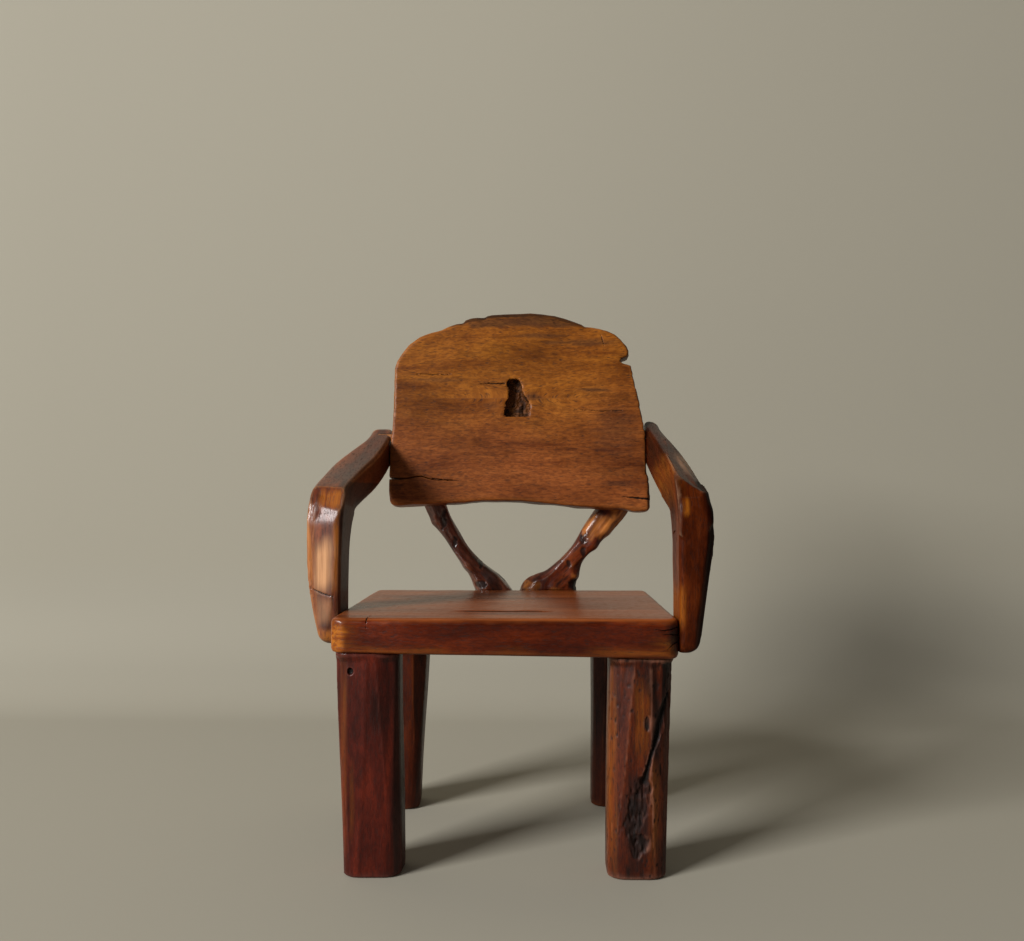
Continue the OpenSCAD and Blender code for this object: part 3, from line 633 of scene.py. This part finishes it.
def dress_back():
    back = finer_copy("back_plank", 3 * MM)
    slit(back, [(-262, 52.4), (-249, 52.8), (-231, 50.8), (-214, 51.6)], 5.0, 3.6, 60)
    slit(back, [(-258, 52.8), (-214, 51.6), (-198, 54.6), (-182, 56.4), (-166, 51.0), (-151, 47.8),
                (-134, 48.4), (-118, 47)], 4.2, 0.8, 13)
    cracks = [[(-160, 51, 1.4), (-134, 48.4, 1.2), (-100, 47, 0)],
              [(226, 14, 0), (252, 12, 2), (288, 8, 3)],
              [(-70, 249, 0), (-40, 251, 1.4), (-13, 250, 1.8)],
              [(-208, 272, 0), (-165, 270, 1), (-118, 271, 0)],
              [(186, 357, 0), (190, 344, 1), (194, 330, 0)],
              [(120, 196, 0), (190, 192, 1), (240, 194, 0)]]

    def near_marks(places):
        spot = on_back(places)
        front = spot[:, 2] < 8 * MM
        close = np.zeros(len(places), dtype=bool)
        for line in cracks:
            close |= front & (line_gap(spot[:, :2], line)[0] < 5 * MM)
        knot = np.abs(spot[:, :2] - KNOT - np.array([0, 38 * MM])) < np.array([36, 52]) * MM
        return close | (knot.all(axis=1) & (spot[:, 2] < 26 * MM))

    finer_near(back, near_marks, 2)
    places = points_of(back)
    facing = facing_of(back)
    spot = on_back(places)
    front = fade(-facing[:, 1], 0.5, 0.9) * fade(9 * MM - spot[:, 2], 0, 4 * MM)
    behind = fade(facing[:, 1], 0.5, 0.9)
    rim = 1 - fade(np.abs(facing[:, 1]), 0.3, 0.8)
    move = 0.7 * MM * waves(places, (160, 200, 45), 21) * (front + behind)
    move += 0.3 * MM * waves(places, (30, 60, 9), 22) * (front + 2 * behind)
    move += 1.1 * MM * waves(places, (28, 60, 14), 23) * rim
    # small nicks down the right edge, none of them as deep as the arm's joint
    nicks = fade(waves(places, (90, 60, 11), 24), 0.2, 0.6) * fade(facing[:, 0], 0.3, 0.8)
    nicks *= fade(15 * MM - spot[:, 2], 0, 5 * MM)
    move -= 1.8 * MM * nicks
    dark = np.zeros(len(places))
    for k, line in enumerate(cracks):
        on_face = (facing[:, 1] < -0.3) * (spot[:, 2] < 8 * MM)
        dark = np.maximum(dark, groove(spot[:, :2], line, k + 30) * on_face)
    move -= 4 * MM * dark
    aside = spot[:, :2] - KNOT - np.array([0, 38 * MM])
    inside = (np.abs(aside) < np.array([30, 46]) * MM).all(axis=1)
    inside &= (spot[:, 2] > 1.5 * MM) & (spot[:, 2] < 24 * MM)
    move += inside * (2.2 * MM * waves(places, (5, 6, 8), 25)
                      + 1.2 * MM * waves(places, 2.5, 26))
    move_to(back, places + facing * move[:, None])

    # the fibres part above and below the knot
    reach = np.exp(-((aside[:, 0] / (70 * MM)) ** 2))
    bulge = np.sqrt(aside[:, 1] ** 2 + (34 * MM) ** 2 * reach) - 34 * MM * reach * 0.2
    round_knot = np.sign(aside[:, 1]) * bulge
    grain = np.column_stack([places[:, 0], spot[:, 2], round_knot + KNOT[1]])
    grain[:, 2] += 7 * MM * waves(places, (170, 400, 120), 27)

    dark = fade(dark, 0.05, 0.5)
    # the right edge is darkened: partly a dark rim of the wood, partly painted shade on its side turned from
    # the lamp
    turned = fade(facing[:, 0], 0.15, 0.7) * fade(-facing[:, 1], 0.0, 0.4)
    dark = np.maximum(dark, turned * (0.5 + 0.3 * nicks))
    stains = [(-18, 250, 60, 7, 0.3), (170, 236, 40, 7, 0.6), (226, 41, 50, 7, 0.5),
              (150, 338, 90, 9, 0.5), (60, 352, 60, 6, 0.35), (-150, 258, 60, 5, 0.3),
              (44, 222, 22, 9, 0.45), (-40, 205, 20, 10, 0.3), (-240, 40, 22, 26, 0.3),
              (216, 150, 60, 60, 0.3)]
    for x, up, wide, high, depth in stains:
        far = ((spot[:, 0] / MM - x) / wide) ** 2 + ((spot[:, 1] / MM - up) / high) ** 2
        ragged = far + 0.7 * waves(places, (34, 30, 4), 28)
        dark = np.maximum(dark, depth * fade(1 - ragged, 0, 1.0) * (front > 0.5))
    in_crack = (spot[:, 0] < -116 * MM) & (np.abs(spot[:, 1] - 51.5 * MM) < 8 * MM)
    in_crack &= np.abs(facing[:, 2]) > 0.7
    dark = np.maximum(dark, 0.9 * in_crack * (np.abs(spot[:, 2] - 21 * MM) < 20.5 * MM))
    dark = np.maximum(dark, inside * (0.55 + 0.35 * fade(waves(places, 7, 29), -0.3, 0.4)))
    bark = fade(facing[:, 2], 0.25, 0.6) * fade(spot[:, 1], 366 * MM, 378 * MM)
    bark *= fade(150 * MM - np.abs(spot[:, 0] - 13 * MM), 0, 12 * MM)
    dark = np.maximum(dark, bark * (0.72 + 0.2 * waves(places, (60, 20, 12), 31)))
    golden = fade(spot[:, 1] + 40 * MM * waves(places, 120, 33), 60 * MM, 330 * MM)
    strip = front * fade(spot[:, 1] + 3 * MM * waves(places, 14, 34), 368 * MM, 376 * MM)
    strip *= fade(121 * MM - np.abs(spot[:, 0] - 27 * MM), 0, 12 * MM)
    dark = np.maximum(dark, strip * (0.5 + 0.2 * waves(places, (50, 20, 8), 35)))
    mark(back, "golden", golden)
    finish_with(back, back_wood, grain, dark)


back_wood = wood_finish(
    "back wood, golden satin", colour(102, 50, 20), colour(134, 73, 32), colour(153, 88, 41),
    colour(180, 112, 54), streaks=0.6, gloss=0.4, seed=4.0, film=0.0,
)
dress_back()

# %% [markdown]
# ## The arms
#
# Each arm is one limb with a natural elbow: a post that widens upward, and a rail that runs back to
# the plank. It was cut with a blade into long facets, and oiled by hands, so its ridges are soft and
# paler. The grain follows the bend. Where the arm lies on the seat and the back its wood stays flat.

# %% Arms


def dress_arm(side, line, material, seed, broad, cracks, pale_spots, amber_spots, edge_size):
    """One arm. line is its middle, from foot to rail. What stands out by over edge_size is rubbed paler."""
    name = "arm_left" if side < 0 else "arm_right"
    arm = finer_copy(name, 2.5 * MM)

    def near_cracks(places):
        close = np.zeros(len(places), dtype=bool)
        for across, stops in cracks:
            close |= line_gap(places[:, across], stops)[0] < 6 * MM
        return close

    finer_near(arm, near_cracks, 1)
    places = points_of(arm)
    facing = facing_of(arm)
    grain = follow(places, smooth_path(np.array(line) * MM, 12), np.array([1.0, 0, 0]))
    ends = np.minimum(grain[:, 0] - grain[:, 0].min(), grain[:, 0].max() - grain[:, 0])
    sides = fade(ends, 12 * MM, 30 * MM)
    planed = plane_off(places, facing, broad, 9 * MM)
    scattered = cut_facets(places, facing, grain, sides, 44 * MM, 3.0, 0.6 * MM, 900 * MM, seed)
    move = np.minimum(planed, 0) + scattered * fade(planed, -0.8 * MM, -0.2 * MM)
    move += 0.3 * MM * waves(grain, (90, 22, 22), seed + 1)
    free = 1 - (side * facing[:, 0] < -0.9) * 0.85
    move *= free
    dark = np.zeros(len(places))
    for k, (across, stops) in enumerate(cracks):
        seen = facing[:, 1] < 0.2
        dark = np.maximum(dark, groove(places[:, across], stops, k + 50) * seen)
    move -= 3 * MM * dark
    places += facing * move[:, None]
    # the arm never enters the seat that it lies against
    seat_end = np.abs(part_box("seat_plank")[0 if side < 0 else 1][0]) + 0.1 * MM
    beside_seat = places[:, 2] < SEAT_TOP + 4 * MM
    gap = side * places[:, 0]
    gap[beside_seat] = np.maximum(gap[beside_seat], seat_end)
    places[:, 0] = side * gap
    move_to(arm, places)
    # painted shade: the wood that faces right, below 640 mm, is darkened
    shaded = 0.55 * fade(facing[:, 0], 0.45, 0.8) * (places[:, 2] < 640 * MM)
    dark = np.maximum(fade(dark, 0.05, 0.5), shaded)
    pale = spots(places, grain, pale_spots)
    amber = spots(places, grain, amber_spots) * (1 - pale)
    finish_with(arm, material, grain, dark, pale, edge_size, amber)


left_arm_wood = wood_finish(
    "left arm wood, brown with orange facets", colour(50, 16, 5), colour(92, 38, 13), colour(132, 64, 24),
    colour(206, 150, 102), streaks=0.35, gloss=0.36, seed=7.0, film=0.1, shine=0.45,
)
right_arm_wood = wood_finish(
    "right arm wood, red brown", colour(40, 11, 2), colour(72, 26, 5), colour(104, 46, 13),
    colour(226, 186, 150), streaks=0.35, gloss=0.34, seed=9.0, film=0.0, shine=0.08,
)
dress_arm(
    -1, [(-300, -131, 350), (-300, -131, 480), (-300, -125, 565), (-298, -95, 602), (-292, -40, 628),
         (-285, 100, 675), (-272, 260, 728)],
    left_arm_wood, 61,
    [((-300, -165.6, 594), (-0.1, -0.83, 0.56)), ((-308, -169.3, 568), (-0.22, -0.955, 0.2)),
     ((-308, -174.4, 495), (-0.2, -0.98, 0)), ((-305, -172.6, 420), (-0.22, -0.975, 0.02)),
     ((-334, -168, 500), (-0.8, -0.6, 0)), ((-296, -60, 662), (-0.1, -0.3, 0.95))],
    [([0, 2], [(-336, 457, 0), (-325, 455, 1.2), (-312, 450, 1.5),
               (-298, 446, 0.9), (-286, 444, 0)])],
    # pale spots: at 498 mm worn wood and partly a painted sheen, at 420 mm a painted sheen
    [(-310, -175, 498, (17, 30, 42), 0.86), (-308, -173, 420, (14, 24, 24), 0.3)],
    [(-338, -160, 520, (12, 34, 84), 0.9), (-296, -150, 610, (22, 30, 16), 0.8),
     (-302, -168, 378, (34, 30, 13), 0.7), (-328, -166, 415, (9, 30, 44), 0.5),
     (-288, -176, 512, (7, 14, 64), 0.6)],
    0.35 * MM,
)
dress_arm(
    1, [(310, -223, 350), (310, -223, 480), (310, -218, 565), (308, -192, 605), (304, -140, 634),
        (300, 60, 685), (298, 260, 735)],
    right_arm_wood, 67,
    [((312, -257, 610), (0, -0.8, 0.6)), ((321, -266, 520), (0.7, -0.7, -0.09)),
     ((312, -266.2, 500), (0.05, -1, 0)), ((318, -90, 668), (0.45, -0.25, 0.86))],
    [([1, 2], [(-230, 560, 0), (-205, 556, 1.4), (-190, 550, 0)])],
    [(315, -40, 668, (17, 170, 22), 0.27)],
    [(291, -256, 598, (5, 20, 14), 0.5), (284, -230, 440, (6, 50, 30), 0.5),
     (284, -60, 640, (8, 150, 40), 0.5), (322, -40, 672, (16, 170, 24), 0.35)],
    1.2 * MM,
)

# %% [markdown]
# ## The branches
#
# Two branches stand behind the chair and prop the back. They kept their natural shape: fluted, with
# knobs, a stub and old wounds. A branch's middle line is found from its own mesh, as the average of
# the points in thin slices. The right one lost its bark on one side, where a flat orange scar shows.

# %% Branches


def middle_line(places, step):
    """The middle of a piece in thin level slices, from its foot to its top."""
    low = places[:, 2].min() + step
    high = places[:, 2].max() - step
    stops = []
    for z in np.arange(low, high, step):
        near = np.abs(places[:, 2] - z) < step * 0.6
        stops.append(places[near].mean(axis=0))
    return np.array(stops)


def dress_branch(side, material, knobs, scars, orange):
    """One branch. Its knobs, dark scars and orange scars are each (x, z, sizes) in mm."""
    name = "branch_left" if side < 0 else "branch_right"
    branch = finer_copy(name, 2 * MM)
    places = points_of(branch)
    facing = facing_of(branch)
    grain = follow(places, middle_line(places, 14 * MM), np.array([0, 1.0, 0]))
    flute = waves(grain, (120, 9, 9), 71 + side)
    move = 1.1 * MM * flute + 0.5 * MM * waves(grain, (30, 5, 5), 73 + side)
    for x, z, size, high in knobs:
        far = np.hypot(places[:, 0] - x * MM, places[:, 2] - z * MM) / (size * MM)
        move += high * MM * np.exp(-far**2) * (facing[:, 1] < 0.4)
    dark = fade(waves(grain, (60, 12, 12), 75 + side), 0.15, 0.6) * 0.6
    for x, z, wide, tall in scars:
        far = np.hypot((places[:, 0] - x * MM) / wide, (places[:, 2] - z * MM) / tall) / MM
        hit = fade(1.2 - far + 0.3 * waves(places, 5, 77), 0, 0.5) * (facing[:, 1] < 0.2)
        dark = np.maximum(dark, hit * 0.85)
        move -= 1.6 * MM * hit
    pale = np.zeros(len(places))
    for x, z, wide, tall in orange:
        far = np.hypot((places[:, 0] - x * MM) / wide, (places[:, 2] - z * MM) / tall) / MM
        hit = fade(1.3 - far + 0.35 * waves(places, 9, 79), 0, 0.6) * (facing[:, 1] < 0.1)
        pale = np.maximum(pale, hit * (0.45 + 0.45 * waves(grain, (50, 5, 5), 78)))
        move -= 1.0 * MM * hit
        dark *= 1 - hit
    seat_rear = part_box("seat_plank")[1][1]
    rests = fade(facing[:, 1], -0.97, -0.85)
    rests = np.where(places[:, 2] < SEAT_TOP, rests, 1)
    behind = (on_back(places)[:, 2] < 44 * MM) & (places[:, 2] > 600 * MM)
    move *= rests * (1 - behind)
    places += facing * move[:, None]
    low = places[:, 2] < SEAT_TOP
    places[low, 1] = np.maximum(places[low, 1], seat_rear)
    move_to(branch, places)
    finish_with(branch, material, grain, dark, pale, 0.4 * MM)


left_branch_wood = wood_finish(
    "left branch wood, dark red and glossy", colour(44, 16, 10), colour(118, 60, 42), colour(164, 100, 72),
    colour(190, 116, 80), streaks=0.6, gloss=0.24, seed=12.0, film=0.7, shine=0.4,
)
right_branch_wood = wood_finish(
    "right branch wood, red with orange scars", colour(46, 14, 7), colour(92, 36, 16), colour(132, 62, 26),
    colour(196, 122, 56), streaks=0.7, gloss=0.35, seed=14.0, film=0.22,
)
dress_branch(
    -1, left_branch_wood,
    [(-90, 470, 12, 4), (-44, 434, 20, 4.5), (-160, 560, 10, 3)],
    [(-140, 566, 7, 22), (-116, 520, 6, 12), (-62, 480, 6, 16), (-62, 430, 12, 9)],
    [],
)
dress_branch(
    1, right_branch_wood,
    [(172, 512, 12, 5), (130, 450, 9, 7), (90, 424, 14, 4), (200, 540, 14, 3)],
    [(150, 500, 6, 10), (120, 474, 5, 8), (132, 430, 13, 13), (150, 528, 8, 14)],
    [(168, 552, 20, 28), (198, 550, 22, 26), (222, 580, 18, 26), (42, 428, 22, 10)],
)

# %% [markdown]
# ## The legs
#
# Four stout posts, cut with a blade to eight soft sides. The front left leg is dark, smooth and
# glossy, with a peg hole near its top. The front right leg is rougher: small pits all over, a long
# black fissure and a pocket of old bark that runs down from it. The rear legs are plainer.

# %% Legs


def dress_leg(name, material, seed, broad, pits=0.0, fissure=(), pocket=(), holes=(), soot_and_shadow=(), shade=0.4,
              amber=()):
    """One leg. All that is on it is laid out in mm, as seen from the front."""
    leg = finer_copy(name, 2.5 * MM)
    pocket = np.array(pocket).reshape(-1, 4) * MM
    holes = np.array(holes).reshape(-1, 3) * MM

    def near_marks(places):
        close = np.zeros(len(places), dtype=bool)
        front = places[:, 1] < places[:, 1].min() + 60 * MM
        if fissure:
            close |= front & (line_gap(places[:, [0, 2]], fissure)[0] < 10 * MM)
        for x, z, size in holes:
            close |= front & (np.hypot(places[:, 0] - x, places[:, 2] - z) < size * 2)
        for x, z, wide, tall in pocket:
            close |= front & (np.abs(places[:, 0] - x) < wide) & (np.abs(places[:, 2] - z) < tall)
        return close

    if fissure or len(pocket) or len(holes):
        finer_near(leg, near_marks, 1)
    places = points_of(leg)
    facing = facing_of(leg)
    grain = places[:, [2, 0, 1]]
    sides = fade(0.5 - np.abs(facing[:, 2]), 0, 0.3)
    planed = plane_off(places, facing, broad)
    scattered = cut_facets(places, facing, grain, sides, 34 * MM, 9.0, 0.5 * MM, 900 * MM, seed)
    move = np.minimum(planed, 0) + scattered * fade(planed, -0.8 * MM, -0.2 * MM)
    move += 0.35 * MM * waves(grain, (120, 18, 18), seed + 1)
    dark = np.zeros(len(places))
    front = facing[:, 1] < 0
    if pits:
        small = fade(waves(grain, (8, 2.6, 2.6), seed + 2), 0.42, 0.7)
        small *= fade(waves(grain, (90, 25, 25), seed + 3), -0.4, 0.3)
        move -= pits * MM * small
        dark = np.maximum(dark, small * 0.8 * front)
    if fissure:
        open_wood = groove(places[:, [0, 2]], fissure, seed) * front
        move -= 6 * MM * open_wood
        dark = np.maximum(dark, fade(open_wood, 0.05, 0.6))
    for x, z, wide, tall in pocket:
        far = np.hypot((places[:, 0] - x) / wide, (places[:, 2] - z) / tall)
        rag = waves(places, (9, 9, 24), seed + 4)
        rag += 0.5 * waves(places, (4, 4, 9), seed + 5)
        hit = fade(1.0 - far + 0.4 * rag, 0.0, 0.35) * front
        move -= hit * (2.4 * MM + 1.6 * MM * waves(places, (4, 4, 9), seed + 6))
        dark = np.maximum(dark, hit * (0.85 + 0.15 * waves(places, (5, 5, 12), seed + 7)))
    # the soot blackens the bark pocket and the fissure; near the leg's top, by the seat, it is partly a
    # painted shadow of the seat
    soot_and_shadow_mask = spots(places, grain, soot_and_shadow) * (0.85 + 0.4 * waves(grain, (30, 4, 4), seed + 8))
    dark = np.maximum(dark, soot_and_shadow_mask)
    # painted shade: the wood that faces right is darkened
    dark = np.maximum(dark, shade * fade(facing[:, 0], 0.4, 0.85))
    dark = np.clip(dark, 0, 1)
    for x, z, size in holes:
        far = np.hypot(places[:, 0] - x, places[:, 2] - z) / size
        hit = fade(1.15 - far, 0, 0.35) * (facing[:, 1] < -0.3)
        move -= 5 * MM * hit
        dark = np.maximum(dark, hit)
    foot = fade(places[:, 2], 0, 3 * MM)
    head = fade(places[:, 2].max() - 12 * MM - places[:, 2], -8 * MM, 4 * MM)
    places += facing * (move * foot * head)[:, None]
    places[:, 2] = np.maximum(places[:, 2], 0)
    move_to(leg, places)
    worn_foot = 0.6 * (1 - fade(places[:, 2] + 5 * MM * waves(places, 12, 3), 2 * MM, 14 * MM))
    dark = np.maximum(dark, worn_foot * 0.5)
    finish_with(leg, material, grain, dark, worn_foot * 0.2, 0.35 * MM, spots(places, grain, amber))


front_left_wood = wood_finish(
    "front left leg wood, deep red gloss", colour(38, 7, 4), colour(70, 19, 10), colour(100, 31, 14),
    colour(126, 70, 60), streaks=0.05, gloss=0.36, seed=17.0, film=0.1, stained=0.1,
)
front_right_wood = wood_finish(
    "front right leg wood, orange brown", colour(28, 6, 2), colour(74, 25, 7), colour(112, 46, 13),
    colour(190, 132, 108), streaks=0.5, gloss=0.42, seed=19.0, film=0.0, shine=0.25,
)
# the rear legs' colours are set low, partly as painted shade for their place under the seat
rear_wood = wood_finish(
    "rear leg wood, orange brown", colour(40, 10, 2), colour(68, 22, 4), colour(88, 34, 8),
    colour(140, 72, 26), streaks=0.3, gloss=0.4, seed=23.0, film=0.05,
)
dress_leg(
    "leg_front_left", front_left_wood, 81,
    [((-216, -262.6, 200), (-0.13, -0.99, 0)), ((-199, -262, 200), (0.36, -0.93, 0.02)),
     ((-178, -254, 200), (0.82, -0.57, 0)), ((-252, -261.5, 200), (-0.6, -0.8, 0.02))],
    0.0, holes=[(-248, 333, 5.5)],
    amber=[(-259, -248, 200, (7, 40, 160), 0.16), (-245, -262, 120, (4, 40, 60), 0.14)],
)
dress_leg(
    "leg_front_right", front_right_wood, 85,
    [((184, -260.5, 200), (-0.72, -0.69, 0.02)), ((199, -262.4, 200), (-0.4, -0.916, 0.03)),
     ((236, -261.5, 200), (0.5, -0.86, 0)), ((255, -252, 200), (0.85, -0.53, 0))],
    1.0,
    fissure=[(272, 298, 5), (261, 272, 13), (253, 250, 12),
             (246, 230, 7), (237, 205, 4), (230, 180, 4.5),
             (225, 158, 8)],
    pocket=[(221, 150, 18, 18), (216, 120, 21, 32),
            (206, 90, 20, 28), (213, 60, 15, 24),
            (229, 251, 3.5, 13)],
    # soot: near the top, by the seat, partly a painted shadow of the seat; lower down the blackened pocket
    # and fissure
    soot_and_shadow=[(213, -262, 98, (21, 40, 56), 0.95), (230, -262, 318, (9, 40, 24), 0.4),
          (210, -262, 40, (12, 40, 30), 0.45), (260, -255, 262, (13, 40, 34), 0.9),
          (243, -260, 218, (7, 40, 26), 0.8), (190, -262, 325, (8, 40, 10), 0.4),
          (262, -255, 190, (8, 40, 120), 0.5), (214, -262, 150, (17, 40, 20), 0.8)],
    amber=[(172, -240, 180, (9, 40, 160), 0.35), (222, -262, 260, (12, 40, 60), 0.28),
           (240, -262, 110, (9, 40, 80), 0.25)],
)
dress_leg("leg_rear_left", rear_wood, 89,
          [((-190, 92, 200), (0.6, -0.8, 0)), ((-256, 93, 200), (-0.5, -0.87, 0))], shade=0.1)
dress_leg("leg_rear_right", rear_wood, 93,
          [((190, 114, 200), (-0.5, -0.87, 0)), ((244, 114, 200), (0.6, -0.8, 0))], shade=0.1)

# %% [markdown]
# ## Tenons, dowels and pegs
#
# The joints are pinned with straight round stock of a paler wood. Only the pegs' heads show, on the
# back of the branches. They keep the construction's meshes, whose shape is right, and get a finish
# with fine long grain.

# %% Peg wood


def peg_finish(name, along):
    """Pale turned wood. along is the axis of the pegs: 0 is X, 1 is Y, 2 is Z."""
    material = bpy.data.materials.new(name)
    material.use_nodes = True
    tree = material.node_tree
    surface = tree.nodes["Principled BSDF"]
    spot = add(tree, "ShaderNodeTexCoord", {}).outputs["Object"]
    scale = [1 / (2 * MM)] * 3
    scale[along] = 1 / (60 * MM)
    stretched = add(tree, "ShaderNodeMapping", {"Vector": spot, "Scale": scale}).outputs[0]
    fibre = add(tree, "ShaderNodeTexNoise", {"Vector": stretched, "Scale": 1.0, "Detail": 3.0}).outputs["Fac"]
    body = blend_colour(tree, between(tree, fibre, 0.3, 0.7), colour(120, 72, 40), colour(168, 112, 66))
    tree.links.new(body, surface.inputs["Base Color"])
    tree.links.new(maths(tree, "MULTIPLY_ADD", fibre, 0.2, 0.35), surface.inputs["Roughness"])
    bump = add(tree, "ShaderNodeBump", {"Strength": 0.3, "Distance": 0.3 * MM, "Height": fibre})
    tree.links.new(bump.outputs[0], surface.inputs["Normal"])
    return material


upright_peg = peg_finish("tenon wood", 2)
sideways_peg = peg_finish("dowel wood", 0)
rearward_peg = peg_finish("peg wood", 1)
for node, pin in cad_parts.items():
    kind = node.split("_")[0]
    if kind in ("tenon", "dowels", "pegs"):
        pin.data.materials.clear()
        pin.data.materials.append({"tenon": upright_peg, "dowels": sideways_peg, "pegs": rearward_peg}[kind])

# %% [markdown]
# ## The room and its light
#
# The chair stands on a seamless paper sweep of warm grey. One large soft lamp stands 10 m away in
# front on the left, so the shadows fall to the right and back, as long as in the photo, and every
# facet shows. From so far off it lights the whole floor evenly. A weak, even sky fills the shadows.
# Polished wood mirrors that sky only faintly, as in a dark studio, or the dark pieces would look
# hazy. Lamp and sky stay at a level where the wood's colours look as they are written.

# %% Sweep, lamp and sky


def sweep():
    """Floor and wall in one sheet with a wide bend between them."""
    reach, bend_starts, wall, rise, high = 5.5, 0.84, 1.36, 0.42, 7.0
    profile = [(-reach, 0.0), (bend_starts, 0.0)]
    for k in range(1, 25):
        a = math.radians(90 * k / 24)
        profile.append((bend_starts + (wall - bend_starts) * math.sin(a), rise - rise * math.cos(a)))
    profile.append((wall, high))
    net = bmesh.new()
    columns = [-reach, -1.9, -1.5, -1.1, -0.6, -0.1, 0.4, 0.8, 1.2, 1.6, reach]
    rows = [[net.verts.new((x, y, z)) for y, z in profile] for x in columns]
    for one, two in zip(rows[:-1], rows[1:]):
        for k in range(len(profile) - 1):
            net.faces.new((one[k], two[k], two[k + 1], one[k + 1]))
    mesh = bpy.data.meshes.new("sweep")
    net.to_mesh(mesh)
    net.free()
    mesh.shade_smooth()
    sheet = bpy.data.objects.new("sweep", mesh)
    # painted shade and light: the paper is a little darker in the bend and towards the left of the wall, and
    # a little lighter towards its right
    places = points_of(sheet)
    on_wall = fade(places[:, 2], 0.1, 0.4)
    in_bend = fade(places[:, 2], 0, 0.1) * (1 - fade(places[:, 2], 0.25, 0.5))
    sideways = np.interp(places[:, 0], [-1.6, -0.1, 1.6], [-0.11, 0, 0.03])
    mark(sheet, "paleness", 1.0 - 0.1 * in_bend + on_wall * sideways)
    bpy.context.scene.collection.objects.link(sheet)
    material = bpy.data.materials.new("warm grey paper")
    material.use_nodes = True
    tree = material.node_tree
    surface = tree.nodes["Principled BSDF"]
    paleness = add(tree, "ShaderNodeAttribute", {}, attribute_name="paleness").outputs["Fac"]
    paper = add(tree, "ShaderNodeVectorMath", {0: colour(167, 161, 145)[:3], 3: paleness}, operation="SCALE")
    tree.links.new(paper.outputs[0], surface.inputs["Base Color"])
    surface.inputs["Roughness"].default_value = 0.9
    # seen from behind the paper is clear, so that it never hides the chair
    behind = add(tree, "ShaderNodeNewGeometry", {}).outputs["Backfacing"]
    clear = add(tree, "ShaderNodeBsdfTransparent", {}).outputs[0]
    one_sided = add(tree, "ShaderNodeMixShader", {0: behind, 1: surface.outputs[0], 2: clear})
    tree.links.new(one_sided.outputs[0], tree.nodes["Material Output"].inputs["Surface"])
    mesh.materials.append(material)


def lamp(name, place, target, size, power):
    """A square soft lamp that looks at a target."""
    data = bpy.data.lights.new(name, "AREA")
    data.shape = "SQUARE"
    data.size = size
    data.energy = power
    made = bpy.data.objects.new(name, data)
    bpy.context.scene.collection.objects.link(made)
    made.location = place
    x, y, z = [t - p for t, p in zip(target, place)]
    made.rotation_euler = (math.atan2(math.hypot(x, y), -z), 0, math.atan2(x, -y) + math.pi)


sweep()
lamp("key lamp", (-7.27, -6.32, 4.69), (0, 0, 0.5), 3.5, 1350)
world = bpy.data.worlds.new("room")
bpy.context.scene.world = world
world.use_nodes = True
sky = world.node_tree.nodes["Background"]
sky.inputs[0].default_value = (1, 0.97, 0.93, 1)
mirrored = add(world.node_tree, "ShaderNodeLightPath", {}).outputs["Is Glossy Ray"]
world.node_tree.links.new(maths(world.node_tree, "MULTIPLY_ADD", mirrored, -0.1, 0.13), sky.inputs[1])
bpy.context.scene.view_settings.view_transform = "Standard"
